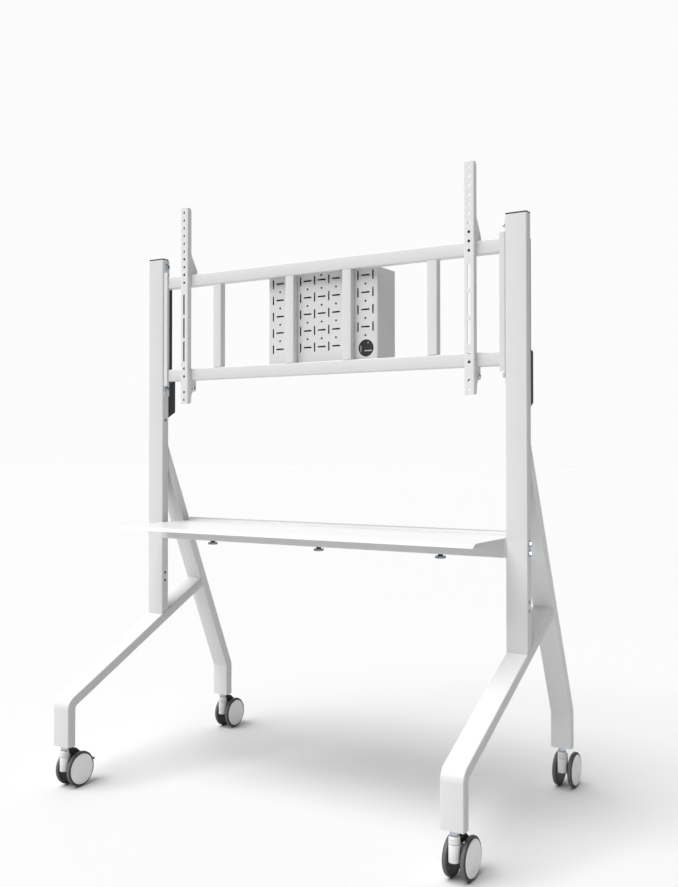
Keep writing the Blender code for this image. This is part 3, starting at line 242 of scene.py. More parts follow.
def plastic_paint(name, hue, roughness, grain, depth):
    """Moulded plastic with a fine spark-eroded grain."""
    paint = Paint(name, roughness)
    rgb = getattr(finish(), hue)
    texture = paint.noise(grain)
    paint.set("Base Color", paint.mixed(paint.noise(9.0), shade(rgb, 0.9), shade(rgb, 1.12)))
    paint.set("Roughness", roughness - 0.06 + texture * 0.12)
    paint.set("Normal", paint.bump(texture, depth, 0.0003))
    return paint.material


def zinc_paint(name, tint):
    """Bright zinc plate with a bluish cast and soft clouds."""
    paint = Paint(name, 0.3, 1.0)
    rgb = finish().zinc
    cloud = paint.noise(60.0, 3.0)
    paint.set("Base Color", paint.mixed(cloud, shade(rgb, 0.82 * tint), shade(rgb, 1.2 * tint)))
    paint.set("Roughness", 0.16 + cloud * 0.14)
    paint.set("Normal", paint.bump(paint.noise(900.0), 0.06, 0.0002))
    return paint.material


def tyre_paint(name, tint):
    """Grey rubber with dusty patches."""
    paint = Paint(name, 0.6)
    rgb = finish().tyre
    dust = paint.noise(40.0, 4.0, 0.6)
    patches = (dust * 1.4 - 0.3).clamped()
    paint.set("Base Color", paint.mixed(patches, shade(rgb, 0.85 * tint), shade(rgb, 1.45 * tint)))
    paint.set("Roughness", 0.52 + dust * 0.2)
    paint.set("Normal", paint.bump(paint.noise(1300.0), 0.2, 0.0003))
    return paint.material


# Each finish: its function and values, which are tint, roughness and grain of a coat, colour,
# roughness, grain and depth of plastic, and tint of tyres and zinc
FINISHES = {
    "powder_coat": (coat_paint, 1.0, 0.44, 1.0),
    # Rear legs: a lighter copy of the powder coat, painted light for the extra light that falls on
    # them
    "rear_leg_coat": (coat_paint, 1.15, 0.44, 1.0),
    "sheet_coat": (coat_paint, 1.0, 0.34, 0.6),
    "tray_coat": (coat_paint, 0.95, 0.34, 0.6),
    "bracket_coat": (coat_paint, 1.08, 0.34, 0.6),
    # Painted shade: near-black lining for the shaded insides of the box and the brackets
    "dark_primer": (plastic_paint, "inside", 0.6, 1100.0, 0.12),
    "black_plastic": (plastic_paint, "plastic", 0.46, 1100.0, 0.12),
    "black_rubber": (plastic_paint, "plastic", 0.62, 900.0, 0.1),
    "white_plastic": (plastic_paint, "housing", 0.4, 500.0, 0.05),
    "disc_plastic": (plastic_paint, "disc", 0.36, 700.0, 0.05),
    "hub_plastic": (plastic_paint, "tyre", 0.55, 300.0, 0.3),
    # Tyre sidewalls darker and treads lighter: painted shade and painted light on one rubber
    "tyre_side": (tyre_paint, 0.5),
    "tyre_tread": (tyre_paint, 1.0),
    "zinc_plate": (zinc_paint, 1.0),
    "dark_steel": (zinc_paint, 0.5),
}


def painted(name):
    """The finish of that name, painted once."""
    make, *values = FINISHES[name]
    return bpy.data.materials.get(name) or make(name, *values)


# Shapes

def centre(node):
    """Middle of a frame node's box."""
    return [(low + high) / 2 for low, high in zip(*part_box(node))]


def placed(axis, along, across):
    """A point from its coordinate along an axis and its two others."""
    place = list(across)
    place.insert("XYZ".index(axis), along)
    return place


def only(kind, geometry):
    """The items of one kind, vertices or edges, among what an operator made."""
    return [item for item in geometry if isinstance(item, kind)]


def stood(shape, axis, place):
    """Turns a shape made about Z to another axis and moves it to its place."""
    bmesh.ops.rotate(shape, cent=(0.0, 0.0, 0.0), matrix=TURNS[axis], verts=shape.verts)
    bmesh.ops.translate(shape, vec=place, verts=shape.verts)
    return shape


def bevel(shape, geometry, width, segments=3, corners=False):
    bmesh.ops.bevel(shape, geom=geometry, offset=width, offset_type="OFFSET", segments=segments,
                    profile=0.5, affect="VERTICES" if corners else "EDGES", clamp_overlap=True,
                    material=-1)


def rounded(shape, width, segments=3, sharp=SHARP):
    """Rounds every edge whose faces turn by more than an angle."""
    bevel(shape, [edge for edge in shape.edges if edge.calc_face_angle(0.0) > sharp], width, segments)
    return shape


def lengthways(edge, axis):
    """Whether an edge runs along an axis."""
    run = edge.verts[1].co - edge.verts[0].co
    return abs(run["XYZ".index(axis)]) > 0.999 * run.length


def crossways(edge, axis):
    """Whether an edge runs square to an axis."""
    run = edge.verts[1].co - edge.verts[0].co
    return abs(run["XYZ".index(axis)]) < 1e-7


def bar(low, high, axis, corner, segments=4, ends=0.0):
    """Box between two corners, rounded along an axis and, where ends is given, round its ends."""
    low = Vector(low)
    high = Vector(high)
    shape = bmesh.new()
    bmesh.ops.create_cube(shape, size=1.0)
    bmesh.ops.scale(shape, vec=high - low, verts=shape.verts)
    bmesh.ops.translate(shape, vec=(low + high) / 2, verts=shape.verts)
    if corner:
        bevel(shape, [edge for edge in shape.edges if lengthways(edge, axis)], corner, segments)
    if ends:
        rims = [edge for edge in shape.edges
                if crossways(edge, axis) and edge.calc_face_angle(0.0) > SHARP]
        bevel(shape, rims, ends, 2)
    return shape


def cylinder(radius, axis, start, end, across, steps, edge=0.0):
    """Round bar along an axis; across gives its other two coordinates."""
    shape = bmesh.new()
    bmesh.ops.create_cone(shape, cap_ends=True, segments=steps, radius1=radius, radius2=radius,
                          depth=abs(end - start))
    if edge:
        rounded(shape, edge, 2)
    return stood(shape, axis, placed(axis, (start + end) / 2, across))


def slot_cutter(x, z, wide, tall, start, end, steps):
    """Cutter along Y for a slot with round ends."""
    radius = min(wide, tall) / 2
    shape = cylinder(radius, "Y", start, end, (x, z), steps)
    for vert in shape.verts:
        side_x = math.copysign(wide / 2 - radius, vert.co.x - x)
        side_z = math.copysign(tall / 2 - radius, vert.co.z - z)
        vert.co += Vector((side_x, 0.0, side_z))
    return shape


def turned(profile, axis, place, steps, rounding=0.0):
    """Solid of revolution from a closed (radius, height) outline, turned about an axis."""
    shape = bmesh.new()
    shape.faces.new([shape.verts.new((radius, 0.0, height)) for radius, height in profile])
    if rounding:
        corners = [vert for vert in shape.verts if vert.co.x > 1e-6]
        bevel(shape, corners, rounding, 2, corners=True)
    bmesh.ops.delete(shape, geom=list(shape.faces), context="FACES_ONLY")
    on_axis = [edge for edge in shape.edges if max(vert.co.x for vert in edge.verts) < 1e-6]
    bmesh.ops.delete(shape, geom=on_axis, context="EDGES")
    bmesh.ops.spin(shape, geom=list(shape.verts) + list(shape.edges), cent=(0.0, 0.0, 0.0),
                   axis=(0.0, 0.0, 1.0), dvec=(0.0, 0.0, 0.0), angle=2 * math.pi, steps=steps,
                   use_merge=True, use_duplicate=False)
    bmesh.ops.remove_doubles(shape, verts=shape.verts, dist=1e-6)
    bmesh.ops.recalc_face_normals(shape, faces=shape.faces)
    return stood(shape, axis, place)


def slab(outline, axis, start, end, rounding=None, steps=6):
    """Solid from an outline drawn across an axis; rounding gives some of its corners a radius."""
    shape = bmesh.new()
    corners = [shape.verts.new(placed(axis, start, point)) for point in outline]
    shape.faces.new(corners)
    for number, radius in (rounding or {}).items():
        bevel(shape, [corners[number]], radius, steps, corners=True)
    made = bmesh.ops.extrude_face_region(shape, geom=list(shape.faces))
    far = only(BMVert, made["geom"])
    bmesh.ops.translate(shape, vec=placed(axis, end - start, (0.0, 0.0)), verts=far)
    bmesh.ops.recalc_face_normals(shape, faces=shape.faces)
    return shape


def hexagon(radius, axis, start, end, across):
    """Hexagonal nut; a barrel shape round it cuts its corners off at both rims."""
    flat = radius * math.cos(math.pi / 6) * 0.98
    rise = (radius - flat) * 0.6
    tall = end - start
    barrel = turned([(0.0, 0.0), (flat, 0.0), (radius, rise), (radius, tall - rise), (flat, tall),
                     (0.0, tall)], axis, placed(axis, start, across), 48)
    return boolean(cylinder(radius, axis, start, end, across, 6), barrel, operation="INTERSECT")


def sided(shape, side, x=0.0):
    """Turns a shape made for the +X side to its own side and moves it by x."""
    if side < 0:
        bmesh.ops.scale(shape, vec=(-1.0, 1.0, 1.0), verts=shape.verts)
        bmesh.ops.reverse_faces(shape, faces=shape.faces)
    bmesh.ops.translate(shape, vec=(x, 0.0, 0.0), verts=shape.verts)
    return shape


def as_mesh(name, shape):
    """The mesh of a bmesh, which is freed."""
    mesh = bpy.data.meshes.new(name)
    shape.to_mesh(mesh)
    shape.free()
    return mesh


def linked(name, data):
    """A new object of the scene for a mesh, a light or a camera."""
    thing = bpy.data.objects.new(name, data)
    bpy.context.scene.collection.objects.link(thing)
    return thing


def joined(*shapes):
    """One bmesh that holds several."""
    whole = bmesh.new()
    for shape in shapes:
        mesh = as_mesh("part", shape)
        whole.from_mesh(mesh)
        bpy.data.meshes.remove(mesh)
    return whole


def boolean(shape, *others, operation="DIFFERENCE"):
    """The shape with others cut from it or joined to it, or what they have in common."""
    pair = [linked("work", as_mesh("work", item)) for item in (shape, joined(*others))]
    modifier = pair[0].modifiers.new("Boolean", "BOOLEAN")
    modifier.operation = operation
    modifier.solver = "EXACT"
    modifier.object = pair[1]
    graph = bpy.context.evaluated_depsgraph_get()
    mesh = bpy.data.meshes.new_from_object(pair[0].evaluated_get(graph))
    result = bmesh.new()
    result.from_mesh(mesh)
    bpy.data.meshes.remove(mesh)
    for thing in pair:
        bpy.data.meshes.remove(thing.data)
    return result


def cut_end(shape, point, normal):
    """Cuts off what lies beyond a plane and closes the cut."""
    geometry = list(shape.verts) + list(shape.edges) + list(shape.faces)
    made = bmesh.ops.bisect_plane(shape, geom=geometry, plane_co=point, plane_no=normal,
                                  clear_outer=True)
    bmesh.ops.contextual_create(shape, geom=only(BMEdge, made["geom_cut"]))


def lined(shape, chosen):
    """Gives the faces chosen by their centre and normal the piece's second finish."""
    shape.normal_update()
    for face in shape.faces:
        if chosen(face.calc_center_median(), face.normal):
            face.material_index = 1
    return shape


def within(value, low, high, margin):
    return low + margin < value < high - margin


def piece(name, shape, paints, body, *nodes):
    """Finishes a bmesh as a piece that rides on a body and stands for frame nodes.

    paints names its finish, or its two finishes with a space between.
    """
    mesh = as_mesh(name, shape)
    for paint in paints.split():
        mesh.materials.append(painted(paint))
    mesh.shade_smooth()
    mesh.set_sharp_from_angle(angle=SMOOTH_ANGLE)
    thing = linked(name, mesh)
    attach(thing, body)
    if nodes:
        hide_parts(*nodes)


# Columns

def column_shape(node):
    """Hollow tube with rounded corners, cut along the leg's slope and drilled."""
    size = sizes()
    low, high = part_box(node)
    wall = size.tube_wall
    below = 0.03        # spare length for the sloping cut
    outer = bar((low.x, low.y, low.z - below), high, "Z", size.tube_corner)
    slope = Vector((0.0, -math.sin(size.front_leg_angle), math.cos(size.front_leg_angle)))
    cut_end(outer, low, -slope)
    bmesh.ops.recalc_face_normals(outer, faces=outer.faces)
    inner = bar((low.x + wall, low.y + wall, low.z - 2 * below),
                (high.x - wall, high.y - wall, high.z + below), "Z", size.tube_corner / 2)
    inside = high.x if low.x < 0 else low.x
    holes = (("frame_bolt_left_", inside, inside, size.frame_drop),
             ("shelf_bolt_left_", low.x, high.x, size.shelf_drop))
    drills = []
    for bolt, start, end, drop in holes:
        for level in LEVELS:
            z = centre(bolt + level)[2]
            drills += [cylinder(size.bolt_hole, "X", start - PAST, end + PAST,
                                (centre(node)[1], height), 24) for height in (z, z - drop)]
    return boolean(boolean(outer, inner), *drills)


def cap_shape(node):
    """Moulded cap with a rounded rim."""
    low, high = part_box(node)
    thick = 0.004
    plate = bar((low.x, low.y, high.z - thick), high, "Z", sizes().tube_corner)
    top = [edge for edge in plate.edges if min(vert.co.z for vert in edge.verts) > high.z - 1e-6]
    bevel(plate, top, 0.3 * thick)
    return plate


def cover_shape(node):
    """The frame node's own shape, with its flat faces made whole and its edges rounded."""
    shape = bmesh.new()
    shape.from_mesh(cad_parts[node].data)
    bmesh.ops.remove_doubles(shape, verts=shape.verts, dist=2e-6)
    bmesh.ops.dissolve_limit(shape, angle_limit=math.radians(0.5), verts=shape.verts,
                             edges=shape.edges)
    return rounded(shape, 0.0006, 2, math.radians(25.0))


class CART_OT_columns(bpy.types.Operator):
    """Columns with their caps, cable channels and shelf bolts"""
    bl_idname = "cart.columns"
    bl_label = "Columns"

    def execute(self, context):
        for name, side in SIDES.items():
            column = name + "_column"
            piece(column + "_tube", column_shape(column), "powder_coat", "base", column)
            cap = column + "_cap"
            piece(column + "_plug", cap_shape(cap), "black_plastic", "base", cap)
            channel = name + "_cable_channel"
            piece(name + "_cable_cover", cover_shape(channel), "black_plastic", "base", channel)
            for level in LEVELS:
                node = "shelf_bolt_%s_%s" % (name, level)
                piece(node + "_zinc", bolt_shape(node, side), "zinc_plate", "base", node)
        return {"FINISHED"}


# Legs

def tube_ring(shape, place, width, depth, corner):
    """Ring of edges of a rectangle with rounded corners, level at a place."""
    made = bmesh.ops.create_grid(shape, x_segments=1, y_segments=1, size=0.5)
    bmesh.ops.scale(shape, vec=(width, depth, 1.0), verts=made["verts"])
    bmesh.ops.translate(shape, vec=place, verts=made["verts"])
    bevel(shape, made["verts"], corner, 4, corners=True)
    bmesh.ops.delete(shape, geom=list(shape.faces), context="FACES_ONLY")
    return list(shape.edges)


def run_on(shape, ring, step):
    """Extrudes a ring of edges straight on and returns the new ring."""
    made = bmesh.ops.extrude_edge_only(shape, edges=ring)["geom"]
    fresh = only(BMVert, made)
    bmesh.ops.translate(shape, vec=step, verts=fresh)
    return [edge for edge in only(BMEdge, made) if all(vert in fresh for vert in edge.verts)]


def bend_on(shape, ring, place, turn):
    """Extrudes a ring of edges round a bend about X and returns the new ring."""
    verts = list({vert for edge in ring for vert in edge.verts})
    made = bmesh.ops.spin(shape, geom=verts + ring, cent=place, axis=(1.0, 0.0, 0.0),
                          dvec=(0.0, 0.0, 0.0), angle=turn, steps=14, use_merge=False,
                          use_duplicate=False)
    return only(BMEdge, made["geom_last"])


def leg_shape(node, y, turn, reach, end_point, end_normal):
    """Bent tube from its foot up: straight foot, bend, sloping run, mitred end."""
    size = sizes()
    low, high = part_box(node)
    x = centre(node)[0]
    longest = 1.2       # more than any leg's sloping run
    recess = 0.0008     # of the foot's closed end
    shape = bmesh.new()
    ring = tube_ring(shape, (x, y, low.z), high.x - low.x, size.leg_thickness, size.tube_corner)
    start = reach - size.leg_bend * math.tan(abs(turn) / 2)
    ring = run_on(shape, ring, (0.0, 0.0, start - low.z))
    ring = bend_on(shape, ring, (x, y - math.copysign(size.leg_bend, turn), start), turn)
    run_on(shape, ring, (0.0, -longest * math.sin(turn), longest * math.cos(turn)))
    cut_end(shape, end_point, end_normal)
    foot = [edge for edge in shape.edges if edge.is_boundary]
    sole = bmesh.ops.contextual_create(shape, geom=foot)["faces"]
    bmesh.ops.inset_region(shape, faces=sole, thickness=size.tube_wall, depth=-recess)
    bmesh.ops.recalc_face_normals(shape, faces=shape.faces)
    return shape


class CART_OT_legs(bpy.types.Operator):
    """Bent front and rear legs"""
    bl_idname = "cart.legs"
    bl_label = "Legs"

    def execute(self, context):
        size = sizes()
        front = size.front_leg_angle
        rear = size.rear_leg_angle
        half = size.leg_thickness / 2
        inward = Vector((0.0, -math.cos(rear), -math.sin(rear)))    # square to the rear leg
        for name in SIDES:
            low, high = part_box(name + "_column")
            back = high.y + GAP
            top = Vector((centre(name + "_column")[0], back, size.rear_leg_top))
            y = centre("caster_stem_front_" + name)[1]
            middle = size.front_leg_height - half / math.cos(front)
            reach = middle + math.tan(front) * (y - low.y)
            node = name + "_front_leg"
            shape = leg_shape(node, y, front - math.pi / 2, reach,
                              top + inward * (size.leg_thickness + GAP), -inward)
            piece(name + "_front_tube", shape, "powder_coat", "base", node)
            axis = top + inward * half
            y = centre("caster_stem_rear_" + name)[1]
            reach = axis.z - (y - axis.y) / math.tan(rear)
            node = name + "_rear_leg"
            shape = leg_shape(node, y, rear, reach, (top.x, back, 0.0), (0.0, -1.0, 0.0))
            # The rear legs get the lighter copy of the coat: painted light
            piece(name + "_rear_tube", shape, "rear_leg_coat", "base", node)
        return {"FINISHED"}


# Screen frame

def frame_end_shape(name):
    """Folded angle: its drilled plate lies on the column, its flange covers the rails' ends."""
    low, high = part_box("frame_end_right")
    overhang = 0.015    # of the flange past the rails
    fold = 0.005
    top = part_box("frame_top_rail")[1].z + overhang
    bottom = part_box("frame_bottom_rail")[0].z - overhang
    face = high.x - PLATE
    outline = [(high.x, high.y), (face, high.y), (face, low.y + PLATE), (low.x, low.y + PLATE),
               (low.x, low.y), (high.x, low.y)]
    flange = slab(outline, "Z", bottom, top, {2: fold - PLATE, 5: fold})
    plate = bar((face, low.y + fold, low.z), high, "X", 0.004)
    drills = [cylinder(sizes().bolt_hole, "X", low.x, high.x + PAST,
                       centre("frame_bolt_right_" + level)[1:], 24) for level in LEVELS]
    shape = boolean(boolean(flange, plate, operation="UNION"), *drills)
    return sided(shape, SIDES[name])


def bolt_shape(node, facing):
    """Screw on its washer; its hexagonal head faces +X or -X."""
    low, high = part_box(node)
    _, y, z = centre(node)
    place = (0.0, y, z)
    washer_top = 0.0017
    head_top = 0.0072
    head_radius = 0.0075
    washer = turned([(0.004, 0.0), (0.01, 0.0), (0.01, washer_top), (0.004, washer_top)], "X",
                    place, 40, 0.0003)
    head = cylinder(head_radius, "X", washer_top, head_top, (y, z), 6)
    chamfer = turned([(0.0, 0.0), (0.02, 0.0), (0.0068, head_top), (0.0, head_top)], "X", place, 40)
    shank = cylinder(SCREW_RADIUS, "X", head_top + GAP - (high.x - low.x), 0.002, (y, z), 24, 0.0004)
    shape = joined(washer, boolean(head, chamfer, operation="INTERSECT"), shank)
    return sided(shape, facing, (high.x if facing > 0 else low.x) - facing * head_top)


class CART_OT_screen_frame(bpy.types.Operator):
    """Rails, struts, end angles and bolts of the screen frame"""
    bl_idname = "cart.screen_frame"
    bl_label = "Screen frame"

    def execute(self, context):
        tubes = {"frame_top_rail": "X", "frame_bottom_rail": "X"}
        tubes.update({"frame_strut_%d" % number: "Z" for number in range(1, 5)})
        for node, axis in tubes.items():
            shape = bar(*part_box(node), axis, sizes().rail_corner)
            piece(node + "_tube", shape, "powder_coat", "screen_frame", node)
        for name, side in SIDES.items():
            node = "frame_end_" + name
            piece(node + "_steel", frame_end_shape(name), "powder_coat", "screen_frame", node)
            for level in LEVELS:
                node = "frame_bolt_%s_%s" % (name, level)
                piece(node + "_zinc", bolt_shape(node, -side), "zinc_plate", "screen_frame", node)
        return {"FINISHED"}


# Screen brackets

def bracket_outline(low, high):
    """Side of a bracket, from its foot past its catch and its hook to its top."""
    rail_low, rail_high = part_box("frame_top_rail")
    back = rail_low.y - GAP
    over = rail_high.z + GAP
    hook = rail_high.y + GAP
    hook_end = over - 0.022
    catch_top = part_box("frame_bottom_rail")[0].z - GAP
    catch_low = catch_top - 0.034
    catch_back = back + 0.025
    return [(low.y, low.z), (back, low.z), (back, catch_low - 0.024),
            (back + 0.003, catch_low - 0.008), (back + 0.012, catch_low), (catch_back, catch_low),
            (catch_back, catch_top), (back, catch_top), (back, over), (hook, over),
            (hook, hook_end), (high.y, hook_end), (high.y, rail_high.z + 0.015),
            (back, rail_high.z + 0.064), (back, high.z), (low.y, high.z)]


def bracket_shape(name):
    """Folded channel with its hook over the top rail, its catch, holes and slots."""
    node = "screen_bracket_" + name
    low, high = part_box(node)
    x = centre(node)[0]
    size = sizes()
    front = low.y
    rounding = {1: 0.008, 2: 0.006, 3: 0.006, 4: 0.005, 5: 0.003, 6: 0.003, 12: 0.004, 13: 0.006,
                14: 0.009}
    shape = slab(bracket_outline(low, high), "X", low.x, high.x, rounding)
    folds = [edge for edge in shape.edges if lengthways(edge, "Z")
             and max(vert.co.y for vert in edge.verts) < front + 1e-6]
    bevel(shape, folds, 0.0034, 5)
    rims = [edge for edge in shape.edges if edge.calc_face_angle(0.0) > SHARP and crossways(edge, "X")]
    bevel(shape, rims, 0.0004, 2)
    sheet = size.bracket_sheet
    hollow = bar((low.x + sheet, front + sheet, low.z - PAST),
                 (high.x - sheet, high.y + PAST, high.z + PAST), "Z", 0.0009, 2)
    lowest = low.z + 0.0124
    highest = high.z - 0.0146
    heights = [highest - number * size.bracket_pitch for number in range(10)]
    heights += [lowest + number * size.bracket_pitch for number in (0, 1, 3, 4)]
    slots = [lowest + number * size.bracket_pitch for number in (6.2, 9.2, 12.2)]
    ends = (front - PAST, front + PAST)
    radius = size.bracket_hole
    slot_length = 0.066
    drills = [cylinder(radius, "Y", *ends, (x, z), 28) for z in heights]
    drills += [slot_cutter(x, z, 2 * radius, slot_length, *ends, 24) for z in slots]
    drills.append(cylinder(SCREW_RADIUS + 0.0002, "X", low.x - PAST, high.x + PAST,
                           centre("bracket_screw_" + name)[1:], 24))
    # Faces inside the channel get the second finish, a painted shade
    lining = 0.9 * sheet
    return lined(boolean(boolean(shape, hollow), *drills),
                 lambda at, normal: within(at.x, low.x, high.x, lining) and at.y > front + lining)


def bracket_screw_shape(name):
    """Safety screw with a flanged, socketed head, and a nut and a threaded tip on the far side."""
    node = "bracket_screw_" + name
    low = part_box(node)[0]
    bracket_low, bracket_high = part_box("screen_bracket_" + name)
    _, y, z = centre(node)
    face = bracket_high.x + 0.0002
    back = bracket_low.x - 0.0002
    nut_end = back - 0.005
    head = turned([(0.0, 0.0), (0.0065, 0.0), (0.0065, 0.0014), (0.0052, 0.0042), (0.0, 0.0049)],
                  "X", (face, y, z), 40, 0.0004)
    socket = cylinder(0.0026, "X", face + 0.0022, face + 0.01, (y, z), 6)
    nut = hexagon(0.0072, "X", nut_end, back, (y, z))
    shank = cylinder(SCREW_RADIUS, "X", back - 0.001, face + 0.001, (y, z), 24)
    tip_length = nut_end + 0.0005 - low.x
    turns = int(tip_length / 0.0008)
    step = tip_length / turns
    root = 0.87 * SCREW_RADIUS
    thread = [(0.0, 0.0)]
    for number in range(turns):
        thread += [(root, number * step), (SCREW_RADIUS, (number + 0.5) * step)]
    thread += [(root, tip_length), (0.0, tip_length)]
    return joined(boolean(head, socket), nut, shank, turned(thread, "X", (low.x, y, z), 24))


class CART_OT_screen_brackets(bpy.types.Operator):
    """Drilled screen brackets and their safety screws"""
    bl_idname = "cart.screen_brackets"
    bl_label = "Screen brackets"

    def execute(self, context):
        for name in SIDES:
            node = "screen_bracket_" + name
            # Second finish: painted shade inside the bracket's channel
            piece(node + "_steel", bracket_shape(name), "bracket_coat dark_primer",
                  "bracket_" + name, node)
            node = "bracket_screw_" + name
            piece(node + "_zinc", bracket_screw_shape(name), "zinc_plate", "bracket_" + name, node)
        return {"FINISHED"}


# Media box

def panel_shape():
    """Perforated front: upright and flat slots in turn, with small holes between the rows."""
    size = sizes()
    low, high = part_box("box_front_panel")
    hole_x, _, hole_z = centre("cable_grommet")
    rows = 5
    top_margin = 0.0234
    clear = size.cable_hole + 0.0135
    pitch = size.pattern_pitch
    ends = (low.y - PAST, high.y + PAST)
    row = [(column + 0.5, size.slot_width, size.slot_length) for column in range(-4, 4)]
    row += [(column, size.slot_length, size.slot_width) for column in range(-3, 4)]
    drills = [cylinder(size.cable_hole, "Y", *ends, (hole_x, hole_z), 64)]
    for number in range(rows):
        z = high.z - top_margin - number * pitch
        for column, wide, tall in row:
            x = column * pitch
            if math.hypot(max(abs(x - hole_x) - wide / 2, 0.0),
                          max(abs(z - hole_z) - tall / 2, 0.0)) > clear:
                drills.append(slot_cutter(x, z, wide, tall, *ends, 12))
            if wide > tall and number < rows - 1:
                drills.append(cylinder(size.round_hole, "Y", *ends, (x, z - pitch / 2), 16))
    drills.append(cylinder(size.round_hole, "Y", *ends, (-0.002, high.z - 0.010), 16))
    # The panel's back and its holes' walls get the second finish, a painted shade
    return lined(boolean(bar(low, high, "Y", 0.0006, 2, 0.0004), *drills),
                 lambda at, normal: normal.y > -0.3 and within(at.x, low.x, high.x, 0.002)
                 and within(at.z, low.z, high.z, 0.002))


def shell_shape():
    """Four folded walls behind the panel, open at the front and the back."""
    low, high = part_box("box_shell")
    outer = bar(low, high, "Y", sizes().fold_radius)
    inner = bar((low.x + SHEET, low.y - PAST, low.z + SHEET),
                (high.x - SHEET, high.y + PAST, high.z - SHEET), "Y", 0.0009, 3)
    # The walls' inner faces get the second finish, a painted shade
    return lined(boolean(outer, inner),
                 lambda at, normal: abs(normal.y) < 0.5 and within(at.x, low.x, high.x, SHEET / 2)
                 and within(at.z, low.z, high.z, SHEET / 2))


def door_shape():
    """Shallow pan with folded rims and a hole for the lock."""
    low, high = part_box("box_door")
    lip = 0.0045
    inner = lip + SHEET
    lock_hole = 0.0083
    face = high.y - SHEET
    plate = bar((low.x, face, low.z), high, "Y", sizes().fold_radius, 4, 0.0005)
    rim = bar((low.x + lip, low.y, low.z + lip), (high.x - lip, face, high.z - lip), "Y", 0.0024)
    hollow = bar((low.x + inner, low.y - PAST, low.z + inner),
                 (high.x - inner, face + PAST, high.z - inner), "Y", 0.0009, 3)
    drill = cylinder(lock_hole, "Y", low.y - PAST, high.y + PAST, lock_axis(), 40)
    # The door's inner side gets the second finish, a painted shade
    return lined(boolean(joined(plate, boolean(rim, hollow)), drill),
                 lambda at, normal: at.y < face + 1e-5)


def lock_axis():
    """Axis (x, z) of the cam lock, from the reach of its cam."""
    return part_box("box_lock")[1].x - 0.024, centre("box_lock")[2]


def lock_shape():
    """Cam lock: tapered head with a key slot, barrel and cam."""
    low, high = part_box("box_lock")
    x, z = lock_axis()
    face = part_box("box_door")[1].y + GAP
    tall = high.y - face
    cam_half = 0.006
    head = turned([(0.0, 0.0), (0.011, 0.0), (0.011, 0.0026), (0.0088, tall), (0.0, tall)], "Y",
                  (x, face, z), 48, 0.0006)
    key = bar((x - 0.0008, high.y - 0.0016, z - 0.0035), (x + 0.0008, high.y + PAST, z + 0.0035),
              "Y", 0.0003, 2)
    barrel = cylinder(0.0079, "Y", low.y, face + 0.001, (x, z), 40, 0.0004)
    cam = slab([(x - cam_half, z - cam_half), (high.x, z - cam_half), (high.x, z + cam_half),
                (x - cam_half, z + cam_half)], "Y", low.y + GAP, low.y + GAP + 0.002,
               {0: 0.0055, 1: 0.004, 2: 0.004, 3: 0.0055})
    return joined(boolean(head, key), barrel, cam)


def grommet_shape():
    """Rubber ring in the cable hole, with a slit lid and a light plate behind the slits, which shows
    through them as painted light: lit edges and a highlight inside the hole.
    """
    low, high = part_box("cable_grommet")
    x, _, z = centre("cable_grommet")
    outer = sizes().cable_hole - GAP
    inner = outer - 0.0025
    flange = (high.x - low.x) / 2
    deep = high.y - low.y
    step = deep - 0.0015
    place = (x, low.y, z)
    ring = turned([(inner, 0.0), (outer, 0.0), (outer, step), (flange, step), (flange, deep),
                   (inner, deep)], "Y", place, 64, 0.0003)
    rim = outer - 0.002
    lid = turned([(0.0, 0.0008), (rim, 0.0008), (rim, 0.0018), (0.0, 0.0018)], "Y", place, 64)
    slits = [bar((x + left, low.y - PAST, z + lower), (x + right, low.y + PAST, z + upper), "Y",
                 0.0005, 2)
             for left, lower, right, upper in ((-0.0192, -0.0125, -0.0168, 0.0075),
                                               (-0.0066, -0.0092, 0.0182, -0.0060))]
    # This small hole shows the light plate as a painted highlight
    slits.append(cylinder(0.0021, "Y", low.y - PAST, low.y + PAST, (x + 0.006, z + 0.016), 20))
    plate = cylinder(outer - 0.0026, "Y", low.y + 0.0022, low.y + 0.0032, (x, z), 48)
    return lined(joined(ring, boolean(lid, *slits), plate),
                 lambda at, normal: low.y + 0.002 < at.y < low.y + 0.0034)


class CART_OT_media_box(bpy.types.Operator):
    """Perforated box between the struts, with its door, lock and cable grommet"""
    bl_idname = "cart.media_box"
    bl_label = "Media box"

    def execute(self, context):
        # The sheets' second finish is painted shade inside the box
        sheet = "sheet_coat dark_primer"
        piece("box_panel_sheet", panel_shape(), sheet, "screen_frame", "box_front_panel")
        piece("box_walls", shell_shape(), sheet, "screen_frame", "box_shell")
        # The grommet's light plate, in the disc plastic, is painted light seen in the hole
        piece("box_grommet_ring", grommet_shape(), "black_rubber disc_plastic", "screen_frame",
              "cable_grommet")
        piece("box_door_sheet", door_shape(), sheet, "box_door", "box_door")
        piece("box_cam_lock", lock_shape(), "zinc_plate", "box_lock", "box_lock")
        return {"FINISHED"}


# Shelf

